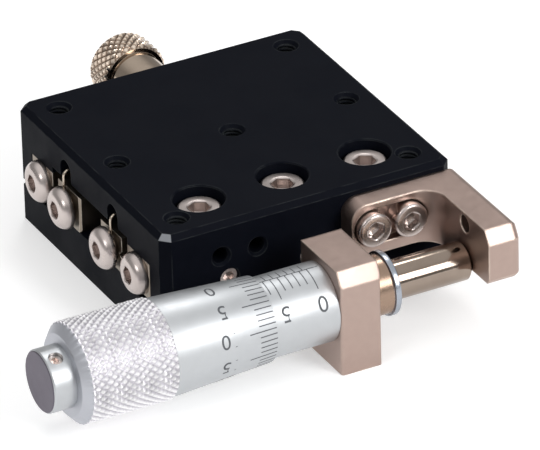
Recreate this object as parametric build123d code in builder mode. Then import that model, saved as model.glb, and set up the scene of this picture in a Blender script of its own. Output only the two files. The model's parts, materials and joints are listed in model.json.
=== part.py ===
from build123d import *
import os
from math import sqrt

# Linear translation stage with a micrometer drive and crossed-roller guides.
# Millimetres. The origin is the centre of the base's bottom face, +Z up.
# The table travels along X, +X is away from the thimble, and the micrometer hangs on the -Y side.

os.makedirs("parts", exist_ok=True)

# Plates: the plan follows the rails along Y, and the height follows the rails along Z
stage_length = 40.0
flange_width = 3.95
ledge_thickness = 5.4
base_land_height = 5.2
rail_seat_rise = 0.4
flange_gap = 0.5
corner_chamfer = 1.2
table_top_chamfer = 0.7
flange_chamfer = 0.7
base_chamfer = 1.5
travel = 6.5

# Crossed-roller rails: the outer pair is carried by the table, the inner pair by the base
rail_height = 5.0
rail_width = 5.8
rail_gap = 1.6
inner_rail_start = 2.85
roller_diameter = 2.0
roller_length = 1.85
roller_clearance = 0.03
roller_pitch = 3.5
relief_half_width = 0.15
relief_depth = 0.2
rail_end_chamfer = 0.25
inner_rail_face = inner_rail_start + rail_width
inner_rail_middle = inner_rail_start + rail_width / 2
outer_rail_face = inner_rail_face + rail_gap
outer_rail_middle = outer_rail_face + rail_width / 2
outer_rail_back = outer_rail_face + rail_width
rail_seat_height = base_land_height + rail_seat_rise
rail_middle = rail_seat_height + rail_height / 2
rail_top = rail_seat_height + rail_height
groove_depth = (roller_diameter * sqrt(2) - rail_gap) / 2
half_length = stage_length / 2
half_width = outer_rail_back + flange_width
stage_height = rail_top + ledge_thickness
flange_bottom = base_land_height + flange_gap

# Roller cages, filled with as many rollers as stay between the rail ends over the travel
cage_thickness = 0.6
cage_height = 4.0
cage_end_margin = 1.9
cage_window_clearance = 0.15
cage_middle = inner_rail_face + rail_gap / 2
roller_count = int((stage_length - travel - 2 * cage_end_margin) / roller_pitch) + 1
cage_length = (roller_count - 1) * roller_pitch + 2 * cage_end_margin

# Channel of the table and clearance channels of the base
preload_gap = 0.15
ceiling_clearance = 0.9
base_relief_depth = 0.5
base_relief_margin = 0.55
channel_ceiling = rail_top + ceiling_clearance
base_relief_height = base_land_height - base_relief_depth

# Hole patterns of the table top and the base
mount_hole_margin = 4.0
mount_thread_radius = 1.25
mount_hole_mouth = 1.65
table_hole_floor = 0.6
base_hole_floor = 0.5
mount_pitch_x = stage_length - 2 * mount_hole_margin
mount_pitch_y = 2 * half_width - 2 * mount_hole_margin
table_hole_depth = ledge_thickness - table_hole_floor
base_hole_depth = base_relief_height - base_hole_floor

# Screws: major radius, head radius, head height, key size across flats, key depth
m3_radius = 1.5
m3_head_radius = 2.75
m3_head_height = 3.0
m3_key = 2.5
m3_key_depth = 1.5
button_head_height = 1.65
button_key = 2.0
button_key_depth = 1.0
button_top_radius = 1.5
button_edge = 0.25
m25_radius = 1.25
m25_head_radius = 2.25
m25_head_height = 2.5
m25_key = 2.0
m25_key_depth = 1.2
m2_radius = 1.0
m2_head_radius = 1.9
m2_head_height = 2.0
m2_key = 1.5
m2_key_depth = 1.0
set_key = 1.3
set_key_depth = 1.0
thread_clearance = 0.05
shank_clearance = 0.2
head_clearance = 0.15
head_chamfer = 0.25

# Rail fastening
rail_screw_margin = 8.5
rail_screw_count = 3
counterbore_clearance = 0.5
counterbore_sink = 1.1
counterbore_chamfer = 0.15
front_thread_reach = 4.3
small_head_sink = 0.2
inner_screw_offset = 0.55
rear_screw_offset = 0.75
small_screw_length = 6.0
small_thread_margin = 0.2
end_screw_length = 5.0
rail_screw_pitch = half_length - rail_screw_margin
counterbore_radius = m3_head_radius + counterbore_clearance
counterbore_depth = m3_head_height + counterbore_sink
front_screw_length = ledge_thickness - counterbore_depth + front_thread_reach
small_bore_depth = m2_head_height + small_head_sink
inner_screw_y = inner_rail_middle - inner_screw_offset
rear_screw_y = outer_rail_middle + rear_screw_offset

# Preload set screws in the front flange
preload_pitch = 11.0
preload_recess = 0.4

# Return springs in the grooves of the table
spring_offset = 0.65
spring_groove_rise = 1.3
spring_groove_radius = 1.4
spring_radius = 1.15
spring_wire_radius = 0.22
spring_coil_margin = 2.4
spring_pin_margin = 2.6
spring_eye_reach = 1.8
spring_pin_radius = 0.6
spring_pin_seat = 1.0
spring_pin_reach = 1.1
spring_bend_radius = 0.8
hook_clearance = 0.05
spring_y = inner_rail_middle + spring_offset
spring_groove_height = channel_ceiling + spring_groove_rise
spring_coil_start = -half_length + spring_coil_margin
spring_pin_x = half_length - spring_pin_margin
spring_coil_end = spring_pin_x - spring_eye_reach

# Anvil bracket on the front face of the table
anvil_length = 15.6
anvil_height = 7.2
anvil_top_margin = 1.3
anvil_plate_thickness = 2.9
anvil_arm_thickness = 4.2
anvil_arm_reach = 16.6
anvil_inner_radius = 3.0
anvil_corner_radius = 2.0
anvil_nose_chamfer = 1.1
anvil_nose_drop = 1.8
anvil_lower_chamfer = 0.5
anvil_side_reach = 0.35
anvil_outer_radius = 1.0
anvil_screw_margin = 2.7
anvil_screw_pitch = 5.0
anvil_screw_drop = 3.3
anvil_slot_clearance = 0.2
anvil_slot_floor = 1.6
anvil_screw_length = 4.4
front_hole_depth = 3.3
front_thread_radius = 1.05
front_hole_mouth = 1.35
witness_hole_radius = 1.15
witness_hole_reach = 10.6
witness_hole_drop = 1.55
witness_hole_depth = 2.6
anvil_top = stage_height - anvil_top_margin
anvil_bottom = anvil_top - anvil_height
anvil_left = half_length - anvil_length
anvil_arm_face = half_length - anvil_arm_thickness
anvil_right = half_length + anvil_side_reach
anvil_screw_x = anvil_left + anvil_screw_margin
anvil_screw_height = anvil_top - anvil_screw_drop
anvil_slot_radius = m25_head_radius + anvil_slot_clearance

# Micrometer bracket on the base: its block stays clear of the anvil bracket's screw heads
mic_height = 8.0
mic_clearance = 1.2
mic_block_left = -3.95
mic_block_width = 5.55
mic_block_rear_margin = 5.0
mic_block_depth = 10.05
mic_block_top_margin = 6.0
mic_block_chamfer = 1.0
mic_block_drop = 2.0
mic_block_round = 0.4
mic_foot_length = 9.65
mic_foot_thickness = 2.3
mic_foot_height = 5.0
mic_foot_screw_margin = 2.5
mic_foot_screw_pitch = 4.6
mic_foot_screw_length = 5.0
mic_block_right = mic_block_left + mic_block_width
mic_block_rear = -half_width - anvil_slot_floor - m25_head_height - mic_clearance
mic_block_front = mic_block_rear - mic_block_depth
mic_block_height = mic_height + mic_block_top_margin
mic_y = mic_block_rear - mic_block_rear_margin
mic_foot_left = mic_block_left - mic_foot_length
mic_foot_screw_x = mic_foot_left + mic_foot_screw_margin
mic_foot_screw_height = mic_foot_height / 2

# Micrometer: stem nut, barrel, graduated sleeve, adjusting nut and spindle
stem_radius = 3.25
stem_reach = 3.0
nut_body_radius = 3.75
nut_rim_radius = 4.1
nut_body_length = 2.6
nut_rim_length = 0.8
nut_chamfer = 0.2
nut_bore_clearance = 0.15
sleeve_radius = 5.075
sleeve_zero_margin = 2.15
sleeve_tail = 1.9
sleeve_chamfer = 0.25
barrel_thread_length = 5.6
barrel_thread_radius = 2.95
adjusting_nut_radius = 4.7
adjusting_nut_gap = 1.0
adjusting_nut_length = 3.2
spindle_radius = 2.5
spindle_thread_radius = 2.2
spindle_neck_radius = 1.9
spindle_fit = 0.03
thread_fit = 0.06
spindle_shoulder_margin = 1.45
guide_bore_margin = 0.7
spindle_tip_chamfer = 0.35
tip_gap = 0.05
stem_end = mic_block_right + stem_reach
sleeve_length = sleeve_zero_margin + 2 * travel + sleeve_tail
sleeve_end = mic_block_left - sleeve_length
barrel_end = sleeve_end - barrel_thread_length
adjusting_nut_start = sleeve_end - adjusting_nut_gap
spindle_shoulder = mic_block_left - spindle_shoulder_margin
guide_bore_end = spindle_shoulder - travel - guide_bore_margin

# Thimble: graduated taper, knurled grip, end wall and clamping cap
thimble_bore_clearance = 0.15
thimble_edge_wall = 0.2
thimble_taper_radius = 6.2
thimble_taper_length = 13.8
grip_radius = 6.45
grip_length = 11.4
grip_cone_radius = 5.2
grip_cone_length = 1.1
thimble_wall = 2.4
cap_radius = 4.0
cap_length = 3.1
cap_chamfer = 0.25
cap_wall = 0.9
cap_hole_radius = 0.9
cap_hole_margin = 1.55
cap_hole_tilt = 23.0
cap_screw_recess = 0.55
thimble_edge = mic_block_left - sleeve_zero_margin - travel
grip_start = thimble_edge - thimble_taper_length
grip_end = grip_start - grip_length
thimble_end = grip_end - grip_cone_length
cap_hole_x = thimble_end - cap_hole_margin

# Clamp: slotted plate on the base, knurled knob in the table
clamp_rise = 0.2
clamp_plate_thickness = 1.5
clamp_plate_top_margin = 3.0
clamp_plate_end_margin = 3.6
clamp_plate_gap = 0.3
clamp_plate_radius = 2.5
clamp_foot_height = 5.0
clamp_slot_clearance = 0.2
clamp_screw_margin = 2.5
clamp_screw_length = 5.5
clamp_face_gap = 0.2
knob_neck_radius = 3.5
knob_neck_length = 4.7
knob_length = 4.5
knob_radius = 4.5
knob_chamfer = 0.45
knob_recess_radius = 2.2
knob_hole_depth = 6.0
stud_depth = 3.2
clamp_height = rail_top + clamp_rise
clamp_plate_top = clamp_height + clamp_plate_top_margin
clamp_slot_radius = m3_radius + clamp_slot_clearance
clamp_slot_length = 2 * (travel + clamp_slot_clearance)
clamp_plate_half_length = clamp_slot_length / 2 + clamp_slot_radius + clamp_plate_end_margin
clamp_screw_x = clamp_plate_half_length - clamp_screw_margin
clamp_screw_height = clamp_foot_height / 2
clamp_plate_face = half_width + clamp_plate_gap
neck_face = clamp_plate_face + clamp_plate_thickness + clamp_face_gap
knob_start = neck_face + knob_neck_length

rail_screw_xs = [(i - (rail_screw_count - 1) / 2) * rail_screw_pitch for i in range(rail_screw_count)]
preload_xs = [-preload_pitch, 0.0, preload_pitch]
anvil_screw_xs = [anvil_screw_x, anvil_screw_x + anvil_screw_pitch]
mic_foot_screw_xs = [mic_foot_screw_x, mic_foot_screw_x + mic_foot_screw_pitch]
clamp_screw_xs = [-clamp_screw_x, clamp_screw_x]
spring_ring_radius = m3_radius + hook_clearance + spring_wire_radius
spring_hook_x = -half_length - spring_wire_radius - hook_clearance
spring_head_gap = 2 * (spring_wire_radius + hook_clearance)
mic_plane = Plane(origin=(0, mic_y, mic_height), x_dir=(1, 0, 0), z_dir=(0, -1, 0))
mic_axis = Axis((0, mic_y, mic_height), (1, 0, 0))
front_plane = Plane.XZ.offset(half_width)
rear_plane = Plane(origin=(0, half_width, 0), x_dir=(-1, 0, 0), z_dir=(0, 1, 0))
left_plane = Plane.YZ.offset(-half_length)
bottom_plane = Plane(origin=(0, 0, 0), x_dir=(1, 0, 0), z_dir=(0, 0, -1))


def cap_screw(radius, length, head_radius, head_height, key, key_depth):
    """Socket cap screw: head on +Z with its bearing face at z = 0, shank down to -length."""
    with BuildPart() as screw:
        with BuildSketch(Plane.XZ):
            with BuildLine():
                Polyline(
                    (0, -length),
                    (radius - thread_clearance - head_chamfer, -length),
                    (radius - thread_clearance, -length + head_chamfer),
                    (radius - thread_clearance, 0),
                    (head_radius, 0),
                    (head_radius, head_height - head_chamfer),
                    (head_radius - head_chamfer, head_height),
                    (0, head_height),
                    close=True,
                )
            make_face()
        revolve(axis=Axis.Z)
        with BuildSketch(Plane.XY.offset(head_height)):
            RegularPolygon(key / 2, 6, major_radius=False)
        extrude(amount=-key_depth, mode=Mode.SUBTRACT)
    return screw.part


def button_screw(radius, length, head_radius, neck):
    """Button head screw with a domed head, raised by neck above z = 0."""
    top = neck + button_head_height
    mid_radius = (head_radius + button_top_radius) / 2 + button_edge
    mid_height = neck + button_edge + (button_head_height - button_edge) * 0.68
    with BuildPart() as screw:
        with BuildSketch(Plane.XZ):
            with BuildLine():
                Polyline(
                    (button_top_radius, top),
                    (0, top),
                    (0, -length),
                    (radius - thread_clearance, -length),
                    (radius - thread_clearance, neck),
                    (head_radius, neck),
                    (head_radius, neck + button_edge),
                )
                ThreePointArc(
                    (head_radius, neck + button_edge),
                    (mid_radius, mid_height),
                    (button_top_radius, top),
                )
            make_face()
        revolve(axis=Axis.Z)
        with BuildSketch(Plane.XY.offset(top)):
            RegularPolygon(button_key / 2, 6, major_radius=False)
        extrude(amount=-button_key_depth, mode=Mode.SUBTRACT)
    return screw.part


def set_screw(radius, length, key, key_depth):
    """Headless set screw: socket end at z = 0, body down to -length."""
    with BuildPart() as screw:
        with BuildSketch(Plane.XY):
            Circle(radius - thread_clearance)
        extrude(amount=-length)
        with BuildSketch(Plane.XY):
            RegularPolygon(key / 2, 6, major_radius=False)
        extrude(amount=-key_depth, mode=Mode.SUBTRACT)
        chamfer(screw.faces().sort_by(Axis.Z)[0].edges(), radius * 0.2)
    return screw.part


def rail_blank(face_y, side):
    """Rail with a 90 degree groove and its relief slot in the face at face_y, body towards side."""
    depth = groove_depth
    slot = depth - relief_half_width
    floor = depth + relief_depth
    low = -rail_height / 2
    outline = [
        (0, low),
        (0, -depth),
        (slot, -relief_half_width),
        (floor, -relief_half_width),
        (floor, relief_half_width),
        (slot, relief_half_width),
        (0, depth),
        (0, -low),
        (rail_width, -low),
        (rail_width, low),
    ]
    with BuildPart() as rail:
        with BuildSketch(left_plane):
            with BuildLine():
                Polyline([(face_y + side * u, rail_middle + v) for u, v in outline], close=True)
            make_face()
        extrude(amount=stage_length)
        back_edges = rail.faces().sort_by(Axis.Y)[-1 if side > 0 else 0].edges()
        chamfer(back_edges, rail_end_chamfer)
        middle = face_y + side * rail_width / 2
        for end in (-half_length, half_length):
            with BuildSketch(Plane.YZ.offset(end)):
                with Locations((middle, rail_middle)):
                    Circle(m3_radius)
            inward = end_screw_length + small_thread_margin
            extrude(amount=inward if end < 0 else -inward, mode=Mode.SUBTRACT)
    return rail.part


# Base plate: rail seats on a raised land, clearance channels under the outer rails
with BuildPart() as base_plate:
    relief_edge = outer_rail_back + base_relief_margin
    with BuildSketch(left_plane):
        with BuildLine():
            half_profile = [
                (half_width, 0),
                (half_width, base_land_height - base_chamfer),
                (half_width - base_chamfer, base_land_height),
                (relief_edge, base_land_height),
                (relief_edge, base_relief_height),
                (inner_rail_face, base_relief_height),
                (inner_rail_face, rail_seat_height),
            ]
            mirrored = [(-y, z) for y, z in reversed(half_profile)]
            Polyline(half_profile + mirrored, close=True)
        make_face()
    extrude(amount=stage_length)
    corners = base_plate.edges().filter_by(Axis.Z).filter_by(lambda e: abs(e.center().Y) > half_width - 0.01)
    chamfer(corners, corner_chamfer)
    with Locations(bottom_plane):
        with GridLocations(mount_pitch_x, mount_pitch_y, 2, 2):
            CounterSinkHole(mount_thread_radius, mount_hole_mouth, depth=base_hole_depth)
    with Locations(Plane.XY.offset(rail_seat_height)):
        with Locations([(x, y) for x in rail_screw_xs for y in (-inner_screw_y, inner_screw_y)]):
            blind = small_screw_length - (rail_height - small_bore_depth) + small_thread_margin
            Hole(m2_radius, depth=blind)
    with Locations(front_plane):
        with Locations([(x, mic_foot_screw_height) for x in mic_foot_screw_xs]):
            Hole(m25_radius, depth=mic_foot_screw_length - mic_foot_thickness + small_thread_margin)
    with Locations(rear_plane):
        with Locations([(x, clamp_screw_height) for x in clamp_screw_xs]):
            clamp_reach = clamp_screw_length - clamp_plate_thickness - clamp_plate_gap
            Hole(m25_radius, depth=clamp_reach + small_thread_margin)
base_plate.part.label = "base_plate"
export_step(base_plate.part, "parts/base_plate.step")

# Table: inverted channel with ledges for the outer rails and open grooves for the springs
with BuildPart() as table_top:
    with BuildSketch(left_plane):
        with BuildLine():
            Polyline(
                (half_width, stage_height),
                (half_width, flange_bottom + flange_chamfer),
                (half_width - flange_chamfer, flange_bottom),
                (outer_rail_back, flange_bottom),
                (outer_rail_back, rail_top),
                (outer_rail_face, rail_top),
                (outer_rail_face, channel_ceiling),
                (-outer_rail_face, channel_ceiling),
                (-outer_rail_face, rail_top),
                (-outer_rail_back - preload_gap, rail_top),
                (-outer_rail_back - preload_gap, flange_bottom),
                (-half_width + flange_chamfer, flange_bottom),
                (-half_width, flange_bottom + flange_chamfer),
                (-half_width, stage_height),
                close=True,
            )
        make_face()
    extrude(amount=stage_length)
    with BuildSketch(left_plane):
        with Locations((-spring_y, spring_groove_height), (spring_y, spring_groove_height)):
            Circle(spring_groove_radius)
        opening_height = spring_groove_height - channel_ceiling
        with Locations(
            (-spring_y, spring_groove_height - opening_height / 2),
            (spring_y, spring_groove_height - opening_height / 2),
        ):
            Rectangle(2 * spring_groove_radius, opening_height)
    extrude(amount=stage_length, mode=Mode.SUBTRACT)
    corners = table_top.edges().filter_by(Axis.Z).filter_by(lambda e: abs(e.center().Y) > half_width - 0.01)
    chamfer(corners, corner_chamfer)
    chamfer(table_top.faces().sort_by(Axis.Z)[-1].edges(), table_top_chamfer)
    with Locations(Plane.XY.offset(stage_height)):
        with GridLocations(mount_pitch_x, mount_pitch_y, 2, 2):
            CounterSinkHole(mount_thread_radius, mount_hole_mouth, depth=table_hole_depth)
        with GridLocations(mount_pitch_x / 2, 0, 3, 1):
            CounterSinkHole(mount_thread_radius, mount_hole_mouth, depth=stage_height - channel_ceiling)
        with Locations([(x, -outer_rail_middle) for x in rail_screw_xs]):
            CounterBoreHole(
                m3_radius + shank_clearance,
                counterbore_radius,
                counterbore_depth,
                depth=stage_height - rail_top,
            )
    rims = table_top.edges().filter_by(GeomType.CIRCLE).filter_by(
        lambda e: abs(e.radius - counterbore_radius) < 0.01 and e.center().Z > stage_height - 0.01
    )
    chamfer(rims, counterbore_chamfer)
    with BuildSketch(Plane.XY.offset(rail_top)):
        with Locations([(x, rear_screw_y) for x in rail_screw_xs]):
            Circle(m2_radius)
    rear_thread = small_screw_length - (rail_height - small_bore_depth) + small_thread_margin
    extrude(amount=rear_thread, mode=Mode.SUBTRACT)
    with BuildSketch(Plane.XY.offset(spring_groove_height)):
        with Locations((spring_pin_x, -spring_y), (spring_pin_x, spring_y)):
            Circle(spring_pin_radius)
    extrude(amount=spring_groove_radius + spring_pin_seat, mode=Mode.SUBTRACT)
    with Locations(front_plane):
        with Locations([(x, anvil_screw_height) for x in anvil_screw_xs]):
            Hole(m25_radius, depth=front_hole_depth)
        with Locations([(-x, anvil_screw_height) for x in anvil_screw_xs]):
            CounterSinkHole(front_thread_radius, front_hole_mouth, depth=front_hole_depth)
        with Locations([(x, rail_middle) for x in preload_xs]):
            CounterSinkHole(m25_radius, front_hole_mouth, depth=flange_width)
    with Locations(rear_plane):
        with Locations((0, clamp_height)):
            CounterSinkHole(m3_radius, mount_hole_mouth, depth=stud_depth + small_thread_margin)
table_top.part.label = "table_top"
export_step(table_top.part, "parts/table_top.step")

# Outer rails: the front one is tapped for the screws from above
with BuildPart() as outer_rail_front:
    add(rail_blank(-outer_rail_face, -1))
    with Locations(Plane.XY.offset(rail_top)):
        with Locations([(x, -outer_rail_middle) for x in rail_screw_xs]):
            Hole(m3_radius, depth=rail_height)
outer_rail_front.part.label = "outer_rail_front"
export_step(outer_rail_front.part, "parts/outer_rail_front.step")

# The rear outer rail is counterbored from below
with BuildPart() as outer_rail_rear:
    add(rail_blank(outer_rail_face, 1))
    with Locations(Plane(origin=(0, 0, rail_seat_height), x_dir=(1, 0, 0), z_dir=(0, 0, -1))):
        with Locations([(x, -rear_screw_y) for x in rail_screw_xs]):
            CounterBoreHole(
                m2_radius + thread_clearance,
                m2_head_radius + head_clearance,
                small_bore_depth,
                depth=rail_height,
            )
outer_rail_rear.part.label = "outer_rail_rear"
export_step(outer_rail_rear.part, "parts/outer_rail_rear.step")

# Inner rails, counterbored from above
for name, side in (("inner_rail_front", -1), ("inner_rail_rear", 1)):
    with BuildPart() as inner_rail:
        add(rail_blank(side * inner_rail_face, -side))
        with Locations(Plane.XY.offset(rail_top)):
            with Locations([(x, side * inner_screw_y) for x in rail_screw_xs]):
                CounterBoreHole(
                    m2_radius + thread_clearance,
                    m2_head_radius + head_clearance,
                    small_bore_depth,
                    depth=rail_height,
                )
    inner_rail.part.label = name
    export_step(inner_rail.part, f"parts/{name}.step")

# Roller cages and their crossed rollers, every second roller turned the other way
for name, side in (("front", -1), ("rear", 1)):
    roller_xs = [(i - (roller_count - 1) / 2) * roller_pitch for i in range(roller_count)]
    with BuildPart() as cage:
        with BuildSketch(Plane.XZ.offset(-side * cage_middle)):
            with Locations((0, rail_middle)):
                RectangleRounded(cage_length, cage_height, cage_height / 5)
            with Locations([(x, rail_middle) for x in roller_xs]):
                Rectangle(
                    roller_diameter + 2 * cage_window_clearance,
                    roller_diameter * sqrt(2) + 2 * cage_window_clearance,
                    mode=Mode.SUBTRACT,
                )
        extrude(amount=cage_thickness / 2, both=True)
    cage.part.label = f"cage_{name}"
    export_step(cage.part, f"parts/cage_{name}.step")
    with BuildPart() as rollers:
        for i, x in enumerate(roller_xs):
            tilt = 45 if i % 2 == 0 else -45
            with Locations(Location((x, side * cage_middle, rail_middle), (tilt, 0, 0))):
                Cylinder(roller_diameter / 2 - roller_clearance, roller_length)
    rollers.part.label = f"rollers_{name}"
    export_step(rollers.part, f"parts/rollers_{name}.step")

# Screws that hold the rails
with BuildPart() as front_rail_screws:
    screw_seat = stage_height - counterbore_depth
    with Locations([(x, -outer_rail_middle, screw_seat) for x in rail_screw_xs]):
        add(cap_screw(m3_radius, front_screw_length, m3_head_radius, m3_head_height, m3_key, m3_key_depth))
front_rail_screws.part.label = "front_rail_screws"
export_step(front_rail_screws.part, "parts/front_rail_screws.step")

small_screw = cap_screw(m2_radius, small_screw_length, m2_head_radius, m2_head_height, m2_key, m2_key_depth)
with BuildPart() as rear_rail_screws:
    for x in rail_screw_xs:
        with Locations(Location((x, rear_screw_y, rail_seat_height + small_bore_depth), (180, 0, 0))):
            add(small_screw)
rear_rail_screws.part.label = "rear_rail_screws"
export_step(rear_rail_screws.part, "parts/rear_rail_screws.step")

with BuildPart() as inner_rail_screws:
    with Locations(
        [(x, y, rail_top - small_bore_depth) for x in rail_screw_xs for y in (-inner_screw_y, inner_screw_y)]
    ):
        add(small_screw)
inner_rail_screws.part.label = "inner_rail_screws"
export_step(inner_rail_screws.part, "parts/inner_rail_screws.step")

# Button head screws in the rail ends, which stop the cages
end_screw = button_screw(m3_radius, end_screw_length, m3_head_radius, 0)
hook_screw = button_screw(m3_radius, end_screw_length, m3_head_radius, spring_head_gap)
with BuildPart() as outer_rail_end_screws:
    for y in (-outer_rail_middle, outer_rail_middle):
        with Locations(Location((-half_length, y, rail_middle), (0, -90, 0))):
            add(end_screw)
        with Locations(Location((half_length, y, rail_middle), (0, 90, 0))):
            add(end_screw)
outer_rail_end_screws.part.label = "outer_rail_end_screws"
export_step(outer_rail_end_screws.part, "parts/outer_rail_end_screws.step")

with BuildPart() as inner_rail_end_screws:
    for y in (-inner_rail_middle, inner_rail_middle):
        with Locations(Location((-half_length, y, rail_middle), (0, -90, 0))):
            add(hook_screw)
        with Locations(Location((half_length, y, rail_middle), (0, 90, 0))):
            add(end_screw)
inner_rail_end_screws.part.label = "inner_rail_end_screws"
export_step(inner_rail_end_screws.part, "parts/inner_rail_end_screws.step")

# Set screws that press the front outer rail against its rollers
with BuildPart() as preload_screws:
    preload_length = flange_width - preload_recess
    for x in preload_xs:
        with Locations(Location((x, -half_width + preload_recess, rail_middle), (90, 0, 0))):
            add(set_screw(m25_radius, preload_length, set_key, set_key_depth))
preload_screws.part.label = "preload_screws"
export_step(preload_screws.part, "parts/preload_screws.step")

# Dowel pins in the table that hold the springs' right ends
with BuildPart() as spring_pins:
    pin_foot = spring_groove_height - spring_pin_reach
    with BuildSketch(Plane.XY.offset(pin_foot)):
        with Locations((spring_pin_x, -spring_y), (spring_pin_x, spring_y)):
            Circle(spring_pin_radius)
    extrude(amount=spring_pin_reach + spring_groove_radius + spring_pin_seat)
spring_pins.part.label = "spring_pins"
export_step(spring_pins.part, "parts/spring_pins.step")

# Return springs: the coil's envelope, an eye round the dowel pin and a hook under the rail's end screw
for name, side in (("return_spring_front", -1), ("return_spring_rear", 1)):
    eye_radius = spring_pin_radius + hook_clearance + spring_wire_radius
    hook_offset = spring_y - inner_rail_middle
    leg_end = rail_middle + sqrt(spring_ring_radius**2 - hook_offset**2)
    with BuildPart() as spring:
        with BuildSketch(Plane.YZ.offset(spring_coil_start)):
            with Locations((side * spring_y, spring_groove_height)):
                Circle(spring_radius)
        extrude(amount=spring_coil_end - spring_coil_start)
        with BuildLine() as hook_path:
            FilletPolyline(
                (spring_coil_start, side * spring_y, spring_groove_height),
                (spring_hook_x, side * spring_y, spring_groove_height),
                (spring_hook_x, side * spring_y, leg_end),
                radius=spring_bend_radius,
            )
        with BuildSketch(Plane(hook_path.line @ 0, z_dir=hook_path.line % 0)):
            Circle(spring_wire_radius)
        sweep(path=hook_path.line)
        with Locations(Location((spring_hook_x, side * inner_rail_middle, rail_middle), (0, 90, 0))):
            Torus(spring_ring_radius, spring_wire_radius)
        with Locations((spring_pin_x, side * spring_y, spring_groove_height)):
            Torus(eye_radius, spring_wire_radius)
        with BuildSketch(Plane.YZ.offset(spring_coil_end)):
            with Locations((side * spring_y, spring_groove_height)):
                Circle(spring_wire_radius)
        extrude(amount=spring_pin_x - eye_radius - spring_coil_end)
    spring.part.label = name
    export_step(spring.part, f"parts/{name}.step")

# Anvil bracket: plate with a stadium counterbore for its two screws, and the arm that the spindle pushes
with BuildPart() as anvil_bracket:
    plate_front = -half_width - anvil_plate_thickness
    arm_front = -half_width - anvil_arm_reach
    with BuildSketch(Plane.XY.offset(anvil_bottom)):
        with BuildLine():
            Polyline(
                (anvil_left, -half_width),
                (anvil_right, -half_width),
                (anvil_right, arm_front),
                (anvil_arm_face, arm_front),
                (anvil_arm_face, plate_front),
                (anvil_left, plate_front),
                close=True,
            )
        make_face()
        fillet(
            vertices().filter_by(
                lambda v: abs(v.X - anvil_arm_face) < 0.01 and abs(v.Y - plate_front) < 0.01
            ),
            anvil_inner_radius,
        )
    extrude(amount=anvil_top - anvil_bottom)
    end_corner = anvil_bracket.edges().filter_by(Axis.Y).group_by(Axis.X)[0].sort_by(Axis.Z)[-1]
    fillet(end_corner, anvil_corner_radius)
    nose = anvil_bracket.faces().sort_by(Axis.Y)[0]
    nose_edges = nose.edges().filter_by(Axis.X).sort_by(Axis.Z)
    chamfer(nose_edges[-1], anvil_nose_drop, anvil_nose_chamfer, reference=nose)
    chamfer(nose_edges[0], anvil_lower_chamfer)
    outer_face = anvil_bracket.faces().sort_by(Axis.X)[-1]
    lower_edge = outer_face.edges().group_by(Axis.Z)[0]
    rear_edge = outer_face.edges().filter_by(Axis.Z).group_by(Axis.Y)[-1]
    fillet(outer_face.edges() - lower_edge - rear_edge, anvil_outer_radius)
    with BuildSketch(Plane.XZ.offset(half_width + anvil_slot_floor)):
        slot_middle = anvil_screw_x + anvil_screw_pitch / 2
        with Locations((slot_middle, anvil_screw_height)):
            SlotCenterToCenter(anvil_screw_pitch, 2 * anvil_slot_radius)
    extrude(amount=anvil_inner_radius + anvil_plate_thickness, mode=Mode.SUBTRACT)
    with BuildSketch(front_plane):
        with Locations([(x, anvil_screw_height) for x in anvil_screw_xs]):
            Circle(m25_radius + shank_clearance)
    extrude(amount=anvil_slot_floor, mode=Mode.SUBTRACT)
    with BuildSketch(Plane.YZ.offset(anvil_arm_face)):
        with Locations((-half_width - witness_hole_reach, anvil_top - witness_hole_drop)):
            Circle(witness_hole_radius)
    extrude(amount=witness_hole_depth, mode=Mode.SUBTRACT)
anvil_bracket.part.label = "anvil_bracket"
export_step(anvil_bracket.part, "parts/anvil_bracket.step")

bracket_screw = cap_screw(
    m25_radius, anvil_screw_length, m25_head_radius, m25_head_height, m25_key, m25_key_depth
)
with BuildPart() as anvil_bracket_screws:
    for x in anvil_screw_xs:
        with Locations(Location((x, -half_width - anvil_slot_floor, anvil_screw_height), (90, 0, 0))):
            add(bracket_screw)
anvil_bracket_screws.part.label = "anvil_bracket_screws"
export_step(anvil_bracket_screws.part, "parts/anvil_bracket_screws.step")

# Micrometer bracket: upright block on a foot that is screwed to the base's front edge
with BuildPart() as micrometer_bracket:
    with BuildSketch(Plane.XY):
        foot_front = -half_width - mic_foot_thickness
        with BuildLine():
            Polyline(
                (mic_foot_left, -half_width),
                (mic_block_right, -half_width),
                (mic_block_right, mic_block_rear - mic_block_chamfer),
                (mic_block_left, mic_block_rear - mic_block_chamfer),
                (mic_block_left, foot_front),
                (mic_foot_left, foot_front),
                close=True,
            )
        make_face()
    extrude(amount=mic_foot_height)
    with BuildSketch(Plane.YZ.offset(mic_block_left)):
        with BuildLine():
            Polyline(
                (mic_block_rear, 0),
                (mic_block_front, 0),
                (mic_block_front, mic_block_height - mic_block_drop),
                (mic_block_front + mic_block_chamfer, mic_block_height),
                (mic_block_rear, mic_block_height),
                close=True,
            )
        make_face()
    extrude(amount=mic_block_width)
    front_edges = micrometer_bracket.edges().filter_by(Axis.Z).group_by(Axis.Y)[0]
    fillet(front_edges, mic_block_round)
    with BuildSketch(Plane.YZ.offset(mic_block_left)):
        with Locations((mic_y, mic_height)):
            Circle(stem_radius + spindle_fit)
    extrude(amount=mic_block_width, mode=Mode.SUBTRACT)
    with BuildSketch(front_plane):
        with Locations([(x, mic_foot_screw_height) for x in mic_foot_screw_xs]):
            Circle(m25_radius + shank_clearance)
    extrude(amount=mic_foot_thickness, mode=Mode.SUBTRACT)
micrometer_bracket.part.label = "micrometer_bracket"
export_step(micrometer_bracket.part, "parts/micrometer_bracket.step")

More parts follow.
